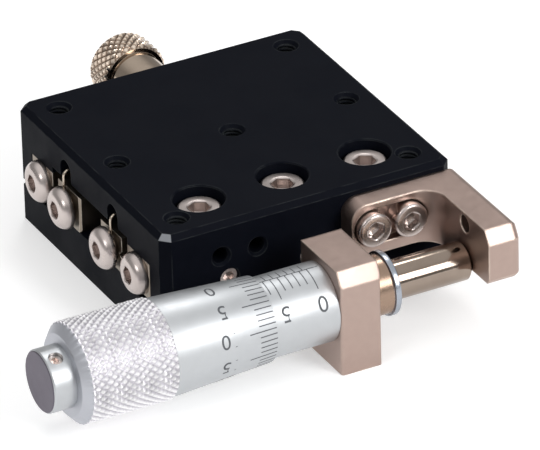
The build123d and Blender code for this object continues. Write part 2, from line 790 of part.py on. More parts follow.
foot_screw = cap_screw(
    m25_radius, mic_foot_screw_length, m25_head_radius, m25_head_height, m25_key, m25_key_depth
)
with BuildPart() as micrometer_bracket_screws:
    for x in mic_foot_screw_xs:
        with Locations(Location((x, -half_width - mic_foot_thickness, mic_foot_screw_height), (90, 0, 0))):
            add(foot_screw)
micrometer_bracket_screws.part.label = "micrometer_bracket_screws"
export_step(micrometer_bracket_screws.part, "parts/micrometer_bracket_screws.step")

# Micrometer barrel: stem through the block, guide bore and screw bore for the spindle
with BuildPart() as micrometer_barrel:
    with BuildSketch(mic_plane):
        with BuildLine():
            Polyline(
                (stem_end, spindle_radius + spindle_fit),
                (stem_end, stem_radius),
                (adjusting_nut_start, stem_radius),
                (adjusting_nut_start, barrel_thread_radius),
                (barrel_end, barrel_thread_radius),
                (barrel_end, spindle_thread_radius + thread_fit),
                (guide_bore_end, spindle_thread_radius + thread_fit),
                (guide_bore_end, spindle_radius + spindle_fit),
                close=True,
            )
        make_face()
    revolve(axis=mic_axis)
micrometer_barrel.part.label = "micrometer_barrel"
export_step(micrometer_barrel.part, "parts/micrometer_barrel.step")

# Graduated sleeve, slipped over the barrel against the block
with BuildPart() as micrometer_sleeve:
    with BuildSketch(Plane(origin=(mic_block_left, mic_y, mic_height), x_dir=(0, 1, 0), z_dir=(-1, 0, 0))):
        Circle(sleeve_radius)
        Circle(stem_radius + spindle_fit, mode=Mode.SUBTRACT)
    extrude(amount=sleeve_length)
    chamfer(micrometer_sleeve.faces().sort_by(Axis.X)[0].outer_wire().edges(), sleeve_chamfer)
micrometer_sleeve.part.label = "micrometer_sleeve"
export_step(micrometer_sleeve.part, "parts/micrometer_sleeve.step")

with BuildPart() as adjusting_nut:
    nut_face = Plane(origin=(adjusting_nut_start, mic_y, mic_height), x_dir=(0, 1, 0), z_dir=(-1, 0, 0))
    with BuildSketch(nut_face):
        Circle(adjusting_nut_radius)
        Circle(barrel_thread_radius + spindle_fit, mode=Mode.SUBTRACT)
    extrude(amount=adjusting_nut_length)
    chamfer(adjusting_nut.faces().sort_by(Axis.X)[0].outer_wire().edges(), head_chamfer)
adjusting_nut.part.label = "adjusting_nut"
export_step(adjusting_nut.part, "parts/adjusting_nut.step")

# Stem nut that clamps the micrometer in the block
with BuildPart() as stem_nut:
    rim_start = mic_block_right + nut_body_length
    rim_end = rim_start + nut_rim_length
    with BuildSketch(mic_plane):
        with BuildLine():
            Polyline(
                (mic_block_right, stem_radius + spindle_fit),
                (mic_block_right, nut_body_radius),
                (rim_start, nut_body_radius),
                (rim_start, nut_rim_radius),
                (rim_end - nut_chamfer, nut_rim_radius),
                (rim_end, nut_rim_radius - nut_chamfer),
                (rim_end, spindle_radius + nut_bore_clearance),
                (stem_end + thread_clearance, spindle_radius + nut_bore_clearance),
                (stem_end + thread_clearance, stem_radius + spindle_fit),
                close=True,
            )
        make_face()
    revolve(axis=mic_axis)
stem_nut.part.label = "stem_nut"
export_step(stem_nut.part, "parts/stem_nut.step")

# Spindle: measuring end, screw length and the neck that carries thimble and cap
with BuildPart() as spindle:
    tip = anvil_arm_face - tip_gap
    cap_floor = thimble_end - cap_length + cap_wall
    with BuildSketch(mic_plane):
        with BuildLine():
            Polyline(
                (tip, 0),
                (tip, spindle_radius - spindle_tip_chamfer),
                (tip - spindle_tip_chamfer, spindle_radius),
                (spindle_shoulder, spindle_radius),
                (spindle_shoulder, spindle_thread_radius),
                (thimble_end + thimble_wall, spindle_thread_radius),
                (thimble_end + thimble_wall, spindle_neck_radius),
                (cap_floor, spindle_neck_radius),
                (cap_floor, 0),
                close=True,
            )
        make_face()
    revolve(axis=mic_axis)
spindle.part.label = "spindle"
export_step(spindle.part, "parts/spindle.step")

# Thimble: thin bevelled edge over the sleeve, knurled grip and end wall
with BuildPart() as thimble:
    bore = sleeve_radius + thimble_bore_clearance
    with BuildSketch(mic_plane):
        with BuildLine():
            Polyline(
                (thimble_edge, bore),
                (thimble_edge, bore + thimble_edge_wall),
                (grip_start, thimble_taper_radius),
                (grip_start, grip_radius),
                (grip_end, grip_radius),
                (thimble_end, grip_cone_radius),
                (thimble_end, spindle_neck_radius + thread_clearance),
                (thimble_end + thimble_wall, spindle_neck_radius + thread_clearance),
                (thimble_end + thimble_wall, bore),
                close=True,
            )
        make_face()
    revolve(axis=mic_axis)
thimble.part.label = "thimble"
export_step(thimble.part, "parts/thimble.step")

# Cap on the spindle's end, with the set screw that locks it
cap_direction = Plane(origin=(cap_hole_x, mic_y, mic_height), x_dir=(1, 0, 0), z_dir=(0, 0, 1)).rotated(
    (cap_hole_tilt, 0, 0)
)
with BuildPart() as thimble_cap:
    cap_end = thimble_end - cap_length
    with BuildSketch(mic_plane):
        with BuildLine():
            Polyline(
                (thimble_end, spindle_neck_radius + thread_clearance),
                (thimble_end, cap_radius),
                (cap_end + cap_chamfer, cap_radius),
                (cap_end, cap_radius - cap_chamfer),
                (cap_end, 0),
                (cap_end + cap_wall, 0),
                (cap_end + cap_wall, spindle_neck_radius + thread_clearance),
                close=True,
            )
        make_face()
    revolve(axis=mic_axis)
    with BuildSketch(cap_direction.offset(spindle_neck_radius)):
        Circle(cap_hole_radius)
    extrude(amount=cap_radius, mode=Mode.SUBTRACT)
thimble_cap.part.label = "thimble_cap"
export_step(thimble_cap.part, "parts/thimble_cap.step")

with BuildPart() as cap_set_screw:
    screw_start = spindle_neck_radius
    screw_length = cap_radius - cap_screw_recess - screw_start
    with BuildSketch(cap_direction.offset(screw_start)):
        Circle(cap_hole_radius - thread_clearance)
    extrude(amount=screw_length)
    with BuildSketch(cap_direction.offset(screw_start + screw_length)):
        RegularPolygon(cap_hole_radius / 2, 6, major_radius=False)
    extrude(amount=-screw_length / 2, mode=Mode.SUBTRACT)
cap_set_screw.part.label = "cap_set_screw"
export_step(cap_set_screw.part, "parts/cap_set_screw.step")

# Clamp plate: foot on the base's rear edge, slot along X for the clamp stud
with BuildPart() as clamp_plate:
    with BuildSketch(Plane.XZ.offset(-clamp_plate_face - clamp_plate_thickness)):
        with Locations((0, clamp_plate_top / 2)):
            Rectangle(2 * clamp_plate_half_length, clamp_plate_top)
        fillet(vertices().group_by(Axis.Z)[-1], clamp_plate_radius)
    extrude(amount=clamp_plate_thickness)
    with BuildSketch(Plane.XZ.offset(-clamp_plate_face)):
        with Locations((0, clamp_foot_height / 2)):
            Rectangle(2 * clamp_plate_half_length, clamp_foot_height)
    extrude(amount=clamp_plate_gap)
    with BuildSketch(rear_plane):
        with Locations((0, clamp_height)):
            SlotCenterToCenter(clamp_slot_length, 2 * clamp_slot_radius)
        with Locations([(x, clamp_screw_height) for x in clamp_screw_xs]):
            Circle(m25_radius + shank_clearance)
    extrude(amount=clamp_plate_gap + clamp_plate_thickness, mode=Mode.SUBTRACT)
clamp_plate.part.label = "clamp_plate"
export_step(clamp_plate.part, "parts/clamp_plate.step")

clamp_screw = cap_screw(
    m25_radius, clamp_screw_length, m25_head_radius, m25_head_height, m25_key, m25_key_depth
)
with BuildPart() as clamp_plate_screws:
    for x in clamp_screw_xs:
        seat_y = clamp_plate_face + clamp_plate_thickness
        with Locations(Location((x, seat_y, clamp_screw_height), (-90, 0, 0))):
            add(clamp_screw)
clamp_plate_screws.part.label = "clamp_plate_screws"
export_step(clamp_plate_screws.part, "parts/clamp_plate_screws.step")

# Clamp knob: wide neck that presses the plate, grip with a turned recess in its end
with BuildPart() as clamp_knob:
    knob_axis = Axis((0, 0, clamp_height), (0, 1, 0))
    knob_end = knob_start + knob_length
    hole_floor = neck_face + knob_hole_depth
    with BuildSketch(Plane(origin=(0, 0, clamp_height), x_dir=(0, 1, 0), z_dir=(1, 0, 0))):
        with BuildLine():
            Polyline(
                (neck_face, m3_radius),
                (neck_face, knob_neck_radius),
                (knob_start, knob_neck_radius),
                (knob_start, knob_radius - knob_chamfer),
                (knob_start + knob_chamfer, knob_radius),
                (knob_end - knob_chamfer, knob_radius),
                (knob_end, knob_radius - knob_chamfer),
                (knob_end, knob_recess_radius),
                (knob_end - knob_chamfer, knob_recess_radius - knob_chamfer),
                (knob_end - knob_chamfer, 0),
                (hole_floor, 0),
                (hole_floor, m3_radius),
                close=True,
            )
        make_face()
    revolve(axis=knob_axis)
clamp_knob.part.label = "clamp_knob"
export_step(clamp_knob.part, "parts/clamp_knob.step")

with BuildPart() as clamp_stud:
    stud_end = half_width - stud_depth
    with BuildSketch(Plane(origin=(0, stud_end, clamp_height), x_dir=(1, 0, 0), z_dir=(0, 1, 0))):
        Circle(m3_radius - thread_clearance)
    extrude(amount=hole_floor - stud_end)
    chamfer(clamp_stud.faces().sort_by(Axis.Y)[0].edges(), head_chamfer)
clamp_stud.part.label = "clamp_stud"
export_step(clamp_stud.part, "parts/clamp_stud.step")
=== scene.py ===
import json
from math import pi, radians

import bmesh
import bpy
import numpy as np
from mathutils import Matrix, Vector


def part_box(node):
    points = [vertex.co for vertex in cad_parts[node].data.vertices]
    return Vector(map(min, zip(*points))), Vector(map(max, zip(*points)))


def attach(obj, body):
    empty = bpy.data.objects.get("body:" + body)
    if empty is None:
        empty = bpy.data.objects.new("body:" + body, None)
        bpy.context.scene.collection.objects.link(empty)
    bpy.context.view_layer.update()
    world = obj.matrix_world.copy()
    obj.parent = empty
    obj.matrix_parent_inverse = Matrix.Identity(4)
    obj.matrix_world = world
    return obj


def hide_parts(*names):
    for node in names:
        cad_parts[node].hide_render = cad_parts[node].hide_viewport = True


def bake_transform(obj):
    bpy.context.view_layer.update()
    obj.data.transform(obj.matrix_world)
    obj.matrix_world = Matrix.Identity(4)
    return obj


# Linear stage with a micrometer drive. Lengths are in millimetres until a mesh is made.
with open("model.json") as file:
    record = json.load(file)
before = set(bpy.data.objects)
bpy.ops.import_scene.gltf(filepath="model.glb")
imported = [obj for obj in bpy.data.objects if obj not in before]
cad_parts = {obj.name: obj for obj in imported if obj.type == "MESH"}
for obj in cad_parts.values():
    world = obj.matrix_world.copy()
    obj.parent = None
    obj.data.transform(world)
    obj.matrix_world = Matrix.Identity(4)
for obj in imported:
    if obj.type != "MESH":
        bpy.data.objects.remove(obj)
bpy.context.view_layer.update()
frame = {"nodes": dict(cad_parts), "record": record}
nodes = frame["nodes"]
MM = 0.001

# Directions
X_AXIS = np.array([1.0, 0.0, 0.0])
Y_AXIS = np.array([0.0, 1.0, 0.0])
Z_AXIS = np.array([0.0, 0.0, 1.0])


def corners(node):
    """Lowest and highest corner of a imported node, in millimetres."""
    low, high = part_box(node)
    return np.array(low) / MM, np.array(high) / MM


# Places read from the frame
spindle_low, spindle_high = corners("spindle")
mic_middle = (spindle_low + spindle_high) / 2
mic_origin = np.array([0.0, mic_middle[1], mic_middle[2]])
table_face_height = corners("table_top")[1][2]
rail_low, rail_high = corners("inner_rail_front")
sleeve_low, sleeve_high = corners("micrometer_sleeve")
thimble_low, thimble_high = corners("thimble")
cap_end_x = corners("thimble_cap")[0][0]
nut_low, nut_high = corners("stem_nut")
knob_low, knob_high = corners("clamp_knob")
sleeve_radius = (sleeve_high[2] - sleeve_low[2]) / 2
grip_radius = (thimble_high[2] - thimble_low[2]) / 2
nut_rim_radius = (nut_high[2] - nut_low[2]) / 2
spindle_radius = (spindle_high[2] - spindle_low[2]) / 2
knob_radius = (knob_high[2] - knob_low[2]) / 2
knob_axis_height = (knob_high[2] + knob_low[2]) / 2

# Thimble, sleeve, nut and spindle
thimble_bore = 5.225
thimble_edge_radius = 5.425
taper_radius = 6.2
taper_length = 13.8
grip_length = 11.4
cone_radius = 5.2
thimble_wall = 2.4
neck_bore = 1.95
knurl_depth = 0.30
knurl_count = 39
knurl_pitch = 1.18
nut_body_radius = 3.75
nut_body_length = 2.6
nut_bore = 2.65
stem_bore = 3.28
stem_length = 3.05
spindle_chamfer = 0.35
spindle_shoulder_x = -5.4
spindle_screw_radius = 2.2
spindle_neck_radius = 1.9
edge_round = 0.08

# Scales: angles are counted round the micrometer axis from straight up towards the front
datum_angle = radians(1.5)
zero_x = -6.0
reading_length = 15.0
short_tick_turn = radians(27.0)
long_tick_turn = radians(38.0)
half_tick_turn = radians(16.0)
line_width = 0.13
paint_height = 0.012
paint_depth = 0.02
figure_height = 2.0
thimble_figure_height = 1.84
capital_share = 0.70
datum_left_gap = 0.3
datum_right_gap = 0.5
sleeve_figure_angle = radians(61.5)
thimble_divisions = 50
thimble_short_tick = 2.3
thimble_long_tick = 3.7
thimble_figure_offset = 6.5
thimble_tick_start = 0.15

# Screws
m3_shank_radius = 1.45
m3_head_radius = 2.75
m3_head_height = 3.0
m3_key = 2.5
m3_key_depth = 1.5
rail_screw_length = 5.6
m25_shank_radius = 1.2
m25_head_radius = 2.25
m25_head_height = 2.5
m25_key = 2.0
m25_key_depth = 1.2
anvil_screw_length = 4.4
head_chamfer = 0.22
key_overcut = 0.12
socket_cone = 0.25
button_length = 5.0
button_key = 2.0
button_key_depth = 1.0
button_edge = 0.25
button_top_radius = 1.5
button_height = 1.65
button_round = 0.06
inner_screw_neck = 0.54
screw_round = 0.12
head_columns = 72

# Knob
knob_neck_radius = 3.5
knob_neck_length = 4.7
knob_chamfer = 0.45
knob_recess_radius = 2.2
knob_bore_radius = 1.5
knob_bore_depth = 6.0
knob_knurl_count = 24
knob_knurl_pitch = 1.15
knob_knurl_depth = 0.26

# Return springs
spring_y = 6.4
spring_height = 12.8
coil_start = -17.6
coil_end = 15.6
coil_pitch = 0.47
coil_radius = 0.93
wire_radius = 0.2
spring_pin_x = 17.4
spring_hook_x = -20.27
hook_ring_radius = 1.77
hook_ring_y = 5.75
hook_ring_height = 8.1
hook_bend_radius = 0.8
hook_turn = 0.37
eye_radius = 0.87

# Threads of the table's holes
thread_pitch = 0.5
thread_height = 0.14
thread_minor_radius = 1.25
thread_lead_in = 0.5
corner_thread_depth = 4.8
centre_thread_depth = 4.5


def grid_faces(rows, columns, wrap_rows=False, wrap_columns=True):
    """Quads of a grid of points, numbered row by row, joined end to end where a direction wraps."""
    row = np.arange(rows if wrap_rows else rows - 1)
    column = np.arange(columns if wrap_columns else columns - 1)
    a, b = np.meshgrid(row, column, indexing="ij")
    next_a = (a + 1) % rows
    next_b = (b + 1) % columns
    quads = [a * columns + b, a * columns + next_b, next_a * columns + next_b, next_a * columns + b]
    return np.stack(quads, -1).reshape(-1, 4)


def piece(name, points, faces, body, material, stands_for=(), sharp=35.0, ride=True):
    """Mesh from points in millimetres and quads, with its doubles merged and its faces turned outwards."""
    mesh = bpy.data.meshes.new(name)
    points = np.asarray(points, float).reshape(-1, 3) * MM
    faces = np.asarray(faces, np.int32)
    mesh.vertices.add(len(points))
    mesh.vertices.foreach_set("co", points.astype(np.float32).ravel())
    mesh.loops.add(faces.size)
    mesh.loops.foreach_set("vertex_index", faces.ravel())
    mesh.polygons.add(len(faces))
    mesh.polygons.foreach_set("loop_start", np.arange(0, faces.size, faces.shape[1], dtype=np.int32))
    mesh.update(calc_edges=True)
    return finish_mesh(name, mesh, body, material, stands_for, sharp, ride)


def finish_mesh(name, mesh, body, material, stands_for=(), sharp=35.0, ride=True):
    """Object of a raw mesh: merged, outward, smooth between faces that meet at less than the sharp angle."""
    shape = bmesh.new()
    shape.from_mesh(mesh)
    bmesh.ops.remove_doubles(shape, verts=shape.verts, dist=1e-8)
    bmesh.ops.dissolve_degenerate(shape, edges=shape.edges, dist=1e-9)
    bmesh.ops.recalc_face_normals(shape, faces=shape.faces)
    shape.to_mesh(mesh)
    shape.free()
    mesh.polygons.foreach_set("use_smooth", np.ones(len(mesh.polygons), bool))
    mesh.set_sharp_from_angle(angle=radians(sharp))
    mesh.materials.append(material)
    thing = bpy.data.objects.new(name, mesh)
    bpy.context.scene.collection.objects.link(thing)
    if ride:
        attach(thing, body)
    if stands_for:
        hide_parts(*stands_for)
    return thing


def stacked(parts):
    """Points and quads of several grids as one set."""
    counts = np.cumsum([0] + [len(points) for points, _ in parts])
    points = np.concatenate([points for points, _ in parts])
    faces = np.concatenate([faces + start for (_, faces), start in zip(parts, counts)])
    return points, faces


def rounded(outline, size=edge_round, steps=3):
    """Outline with each inner corner replaced by a quadratic curve that starts and ends size away from it."""
    outline = np.asarray(outline, float)
    legs = np.diff(outline, axis=0)
    length = np.linalg.norm(legs, axis=1)
    unit = legs / np.maximum(length, 1e-9)[:, None]
    reach = np.minimum(size, 0.45 * np.minimum(length[:-1], length[1:]))[:, None]
    before = outline[1:-1] - unit[:-1] * reach
    after = outline[1:-1] + unit[1:] * reach
    t = np.linspace(0, 1, steps + 1)[None, :, None]
    curves = (1 - t) ** 2 * before[:, None] + 2 * t * (1 - t) * outline[1:-1, None] + t**2 * after[:, None]
    return np.vstack([outline[:1], curves.reshape(-1, outline.shape[1]), outline[-1:]])


def turned(origin, axis, start, along, radius, turns):
    """Surface of revolution: origin + along * axis + radius * (cos(turn) * start + sin(turn) * side)."""
    side = np.cross(axis, start)
    spokes = np.cos(turns)[:, None] * start + np.sin(turns)[:, None] * side
    shape = (len(along), len(turns))
    along = np.broadcast_to(along.reshape(len(along), -1), shape)
    radius = np.broadcast_to(radius.reshape(len(radius), -1), shape)
    return origin + along[..., None] * axis + radius[..., None] * spokes[None]


def turned_grid(origin, axis, start, profile, columns, wrap_rows=False):
    """Points and quads of a turned piece whose profile rows are (along, radius, share of hexagon).

    A full share makes the row a hexagon whose flats lie at the radius:
    radius / cos(angle from the middle of the nearest flat)."""
    profile = np.asarray(profile, float)
    turns = np.arange(columns) * 2 * pi / columns
    radius = profile[:, 1:2]
    if profile.shape[1] > 2:
        from_flat = (turns + pi / 6) % (pi / 3) - pi / 6
        hexagon = profile[:, 1:2] / np.cos(from_flat)[None]
        radius = profile[:, 1:2] + profile[:, 2:3] * (hexagon - profile[:, 1:2])
    points = turned(origin, axis, start, profile[:, 0], radius, turns)
    return points.reshape(-1, 3), grid_faces(len(profile), columns, wrap_rows)


def ridge(phase):
    """Triangle wave: 0 where the phase is whole, 1 half-way between."""
    return 1 - np.abs(2 * (phase % 1) - 1)


def diamond_knurl(turns, along, count, pitch):
    """Height from 0 to 1 of two crossing sets of V grooves: the lower of ridge(around + along) and
    ridge(around - along), with the tips of the diamonds cut flat at four fifths."""
    around = count * turns[None] / (2 * pi)
    along = along[:, None] / pitch
    return np.minimum(np.minimum(ridge(around + along), ridge(around - along)) / 0.8, 1)


def mark_grooves(thing, origin, axis, along, share, turns):
    """Stores how deep in a groove each vertex lies, read from the grid by its place along and round the axis.

    A vertex off the grip holds 0, a tip on it 0.2, and the floor of a groove 1."""
    count = len(thing.data.vertices)
    place = np.zeros(count * 3, np.float32)
    thing.data.vertices.foreach_get("co", place)
    place = place.reshape(-1, 3) / MM - origin
    side = np.cross(axis, Z_AXIS)
    turn = np.arctan2(place @ side, place @ Z_AXIS) % (2 * pi)
    column = np.round(turn / (2 * pi) * len(turns)).astype(int) % len(turns)
    level = place @ axis
    order = np.argsort(along)
    row = order[np.clip(np.searchsorted(along[order], level), 0, len(along) - 1)]
    inside = (level > along.min() - 0.01) & (level < along.max() + 0.01)
    groove = np.where(inside, 0.2 + 0.8 * (1 - share[row, column]), 0)
    layer = thing.data.attributes.new("groove", "FLOAT", "POINT")
    layer.data.foreach_set("value", groove.astype(np.float32))


# Node building
def add_node(tree, kind, links=(), **settings):
    """New node with its socket values and settings; links are (socket, output) pairs."""
    made = tree.nodes.new(kind)
    for key, value in settings.items():
        if key in made.inputs.keys():
            made.inputs[key].default_value = value
        else:
            setattr(made, key, value)
    for socket, output in links:
        tree.links.new(output, made.inputs[socket])
    return made


def math_node(tree, operation, first, second=None, clamp=False):
    """Math node whose two inputs are outputs or plain numbers."""
    made = tree.nodes.new("ShaderNodeMath")
    made.operation = operation
    made.use_clamp = clamp
    for socket, value in zip(made.inputs, (first, second)):
        if value is None:
            continue
        if isinstance(value, (int, float)):
            socket.default_value = value
        else:
            tree.links.new(value, socket)
    return made.outputs[0]


def share_between(tree, value, low, high, out_low=0.0, out_high=1.0, interpolation="LINEAR"):
    """Output that runs from out_low to out_high while the value runs from low to high, and stays there."""
    made = tree.nodes.new("ShaderNodeMapRange")
    made.interpolation_type = interpolation
    tree.links.new(value, made.inputs[0])
    for index, number in enumerate((low, high, out_low, out_high), 1):
        made.inputs[index].default_value = number
    return made.outputs[0]


def new_group(name, inputs, outputs):
    """Empty shader group with float or vector inputs and outputs, and its two end nodes."""
    group = bpy.data.node_groups.new(name, "ShaderNodeTree")
    for label, kind, value in inputs:
        socket = group.interface.new_socket(label, in_out="INPUT", socket_type=kind)
        if value is not None:
            socket.default_value = value
    for label, kind in outputs:
        group.interface.new_socket(label, in_out="OUTPUT", socket_type=kind)
    return group, group.nodes.new("NodeGroupInput"), group.nodes.new("NodeGroupOutput")


def grain_group():
    """Fine blasted grain: two octaves of noise at a size in millimetres, as a height and a mask."""
    group, start, end = new_group(
        "blasted grain",
        [("Vector", "NodeSocketVector", None), ("Size mm", "NodeSocketFloat", 0.1)],
        [("Height", "NodeSocketFloat"), ("Mask", "NodeSocketFloat")],
    )
    scale = math_node(group, "DIVIDE", 1.0 / MM, start.outputs["Size mm"])
    where = start.outputs["Vector"]
    fine = add_node(group, "ShaderNodeTexNoise", [("Vector", where), ("Scale", scale)], Detail=2.0)
    broad_scale = math_node(group, "MULTIPLY", scale, 0.07)
    broad = add_node(group, "ShaderNodeTexNoise", [("Vector", where), ("Scale", broad_scale)], Detail=3.0)
    group.links.new(fine.outputs[0], end.inputs["Height"])
    group.links.new(broad.outputs[0], end.inputs["Mask"])
    return group


def turning_group():
    """Fine turning or grinding lines: noise stretched across the line direction by a scale vector."""
    group, start, end = new_group(
        "machining lines",
        [("Vector", "NodeSocketVector", None), ("Stretch", "NodeSocketVector", (1.0, 1.0, 1.0)),
         ("Lines per mm", "NodeSocketFloat", 12.0)],
        [("Height", "NodeSocketFloat"), ("Mask", "NodeSocketFloat")],
    )
    stretched = add_node(group, "ShaderNodeVectorMath",
                         [(0, start.outputs["Vector"]), (1, start.outputs["Stretch"])], operation="MULTIPLY")
    where = stretched.outputs[0]
    scale = math_node(group, "MULTIPLY", start.outputs["Lines per mm"], 1.0 / MM)
    lines = add_node(group, "ShaderNodeTexNoise", [("Vector", where), ("Scale", scale)], Detail=2.0)
    smear = math_node(group, "MULTIPLY", scale, 0.12)
    mask = add_node(group, "ShaderNodeTexNoise", [("Vector", where), ("Scale", smear)], Detail=2.0)
    group.links.new(lines.outputs[0], end.inputs["Height"])
    group.links.new(mask.outputs[0], end.inputs["Mask"])
    return group


def handling_group():
    """Handling marks: soft smudges as a mask from 0 to 1."""
    group, start, end = new_group(
        "handling marks",
        [("Vector", "NodeSocketVector", None)],
        [("Smudge", "NodeSocketFloat")],
    )
    smudge = add_node(group, "ShaderNodeTexNoise", [("Vector", start.outputs["Vector"])],
                      Scale=140.0, Detail=4.0)
    group.links.new(share_between(group, smudge.outputs[0], 0.42, 0.68), end.inputs["Smudge"])
    return group


def wear_group():
    """Edge wear and painted edge highlight: how far the softened normal leaves the true one, broken up by
    noise, as a mask.
    """
    group, start, end = new_group(
        "edge wear",
        [("Vector", "NodeSocketVector", None), ("Soft Normal", "NodeSocketVector", None),
         ("True Normal", "NodeSocketVector", None)],
        [("Mask", "NodeSocketFloat")],
    )
    agree = add_node(group, "ShaderNodeVectorMath",
                     [(0, start.outputs["Soft Normal"]), (1, start.outputs["True Normal"])],
                     operation="DOT_PRODUCT")
    edge = share_between(group, agree.outputs["Value"], 0.995, 0.93)
    patch = add_node(group, "ShaderNodeTexNoise", [("Vector", start.outputs["Vector"])],
                     Scale=450.0, Detail=3.0)
    rubbed_and_lit_edge = share_between(group, patch.outputs[0], 0.35, 0.6)
    group.links.new(math_node(group, "MULTIPLY", edge, rubbed_and_lit_edge), end.inputs["Mask"])
    return group


grain = grain_group()
machining = turning_group()
handling = handling_group()
wear_and_highlight = wear_group()


def use_group(tree, group, links=(), **settings):
    """Group node placed in a material."""
    made = tree.nodes.new("ShaderNodeGroup")
    made.node_tree = group
    for key, value in settings.items():
        made.inputs[key.replace("_", " ")].default_value = value
    for socket, output in links:
        tree.links.new(output, made.inputs[socket])
    return made


def colour_mix(tree, factor, first, second):
    """Colour mix whose factor is an output and whose colours are outputs or plain triples."""
    made = tree.nodes.new("ShaderNodeMix")
    made.data_type = "RGBA"
    tree.links.new(factor, made.inputs["Factor"])
    for socket, value in ((made.inputs[6], first), (made.inputs[7], second)):
        if isinstance(value, tuple):
            socket.default_value = (*value, 1)
        else:
            tree.links.new(value, socket)
    return made.outputs[2]


def finish(name, colour, second, metallic, roughness, specular=0.5, grain_mm=0.12, grain_bump=0.15,
           grain_depth=0.01, lines=None, line_bump=0.0, lines_per_mm=12.0, line_rough=0.0,
           smudge=0.05, soft_edge=0.0, rubbed_and_lit_edge=None, groove=None, zone=None, facet=None):
    """Surface finish: two close colours mixed by the broad grain, with bump from grain and machining lines,
    and roughness from the grain, the lines and smudges.

    The edge colour argument is partly real wear and partly a painted highlight on the edges, which soft_edge
    (mm) rounds in the shading. groove is the pair of colours on a knurl's tips, a painted highlight, and in
    its grooves, painted shade. zone is (x in mm, colour, roughness) of what lies to the left of x.
    facet is (centre in mm, reach in mm, direction, colour) of the one face that is painted light grey as a
    painted highlight."""
    material = bpy.data.materials.new(name)
    material.use_nodes = True
    tree = material.node_tree
    shader = tree.nodes["Principled BSDF"]
    shader.inputs["Specular IOR Level"].default_value = specular
    where = tree.nodes.new("ShaderNodeTexCoord").outputs["Object"]
    blasted = use_group(tree, grain, [("Vector", where)], Size_mm=grain_mm)
    marks = use_group(tree, handling, [("Vector", where)])
    base = colour_mix(tree, blasted.outputs["Mask"], colour, second)
    spread = math_node(tree, "MULTIPLY", math_node(tree, "SUBTRACT", blasted.outputs["Mask"], 0.5), 0.12)
    rough = math_node(tree, "ADD", spread, roughness)
    rough = math_node(tree, "ADD", rough, math_node(tree, "MULTIPLY", marks.outputs["Smudge"], smudge))
    height = math_node(tree, "MULTIPLY", blasted.outputs["Height"], grain_bump)
    if lines is not None:
        cut = use_group(tree, machining, [("Vector", where)], Stretch=lines, Lines_per_mm=lines_per_mm)
        height = math_node(tree, "ADD", height, math_node(tree, "MULTIPLY", cut.outputs["Height"], line_bump))
        rough = math_node(tree, "ADD", rough, math_node(tree, "MULTIPLY", cut.outputs["Mask"], line_rough))
    if groove is not None:
        # Knurl tips are painted light as a painted highlight and groove floors dark as painted shade, by how
        # deep each point lies in a groove.
        depth = add_node(tree, "ShaderNodeAttribute", attribute_name="groove", attribute_type="GEOMETRY")
        tip, floor = groove
        base = colour_mix(tree, share_between(tree, depth.outputs["Fac"], 0.0, 0.2), base, tip)
        base = colour_mix(tree, share_between(tree, depth.outputs["Fac"], 0.35, 1.0), base, floor)
    if zone is not None:
        # On the cap this zone is painted shade, on the stem nut a painted reflection; on the thimble it is a
        # slightly different tone of the metal.
        limit, tint, tint_rough = zone
        axes = add_node(tree, "ShaderNodeSeparateXYZ", [(0, where)])
        left = math_node(tree, "LESS_THAN", axes.outputs[0], limit * MM)
        base = colour_mix(tree, left, base, tint)
        change = math_node(tree, "MULTIPLY", left, tint_rough - roughness)
        rough = math_node(tree, "ADD", rough, change)
    bump = add_node(tree, "ShaderNodeBump", [("Height", height)], Strength=1.0, Distance=grain_depth * MM)
    if soft_edge:
        soft = add_node(tree, "ShaderNodeBevel", samples=6, Radius=soft_edge * MM)
        tree.links.new(soft.outputs[0], bump.inputs["Normal"])
        true_normal = tree.nodes.new("ShaderNodeNewGeometry").outputs["True Normal"]
        if facet is not None:
            # The facet is painted light grey as a painted highlight.
            centre, reach, direction, tint = facet
            along = add_node(tree, "ShaderNodeVectorMath", [(0, true_normal)], operation="DOT_PRODUCT")
            along.inputs[1].default_value = direction
            faced = math_node(tree, "GREATER_THAN", along.outputs["Value"], 0.97)
            apart = add_node(tree, "ShaderNodeVectorMath", [(0, where)], operation="DISTANCE")
            apart.inputs[1].default_value = tuple(value * MM for value in centre)
            near = math_node(tree, "LESS_THAN", apart.outputs["Value"], reach * MM)
            base = colour_mix(tree, math_node(tree, "MULTIPLY", faced, near), base, tint)
        if rubbed_and_lit_edge is not None:
            edge = use_group(tree, wear_and_highlight, [("Vector", where), ("Soft Normal", soft.outputs[0]),
                                          ("True Normal", true_normal)])
            # Edges take a lighter colour: partly real wear, partly a painted highlight where the rounded edge
            # would catch the lamps.
            base = colour_mix(tree, edge.outputs["Mask"], base, rubbed_and_lit_edge)
    tree.links.new(base, shader.inputs["Base Color"])
    tree.links.new(math_node(tree, "ADD", rough, 0.0, clamp=True), shader.inputs["Roughness"])
    shader.inputs["Metallic"].default_value = metallic
    tree.links.new(bump.outputs[0], shader.inputs["Normal"])
    return material


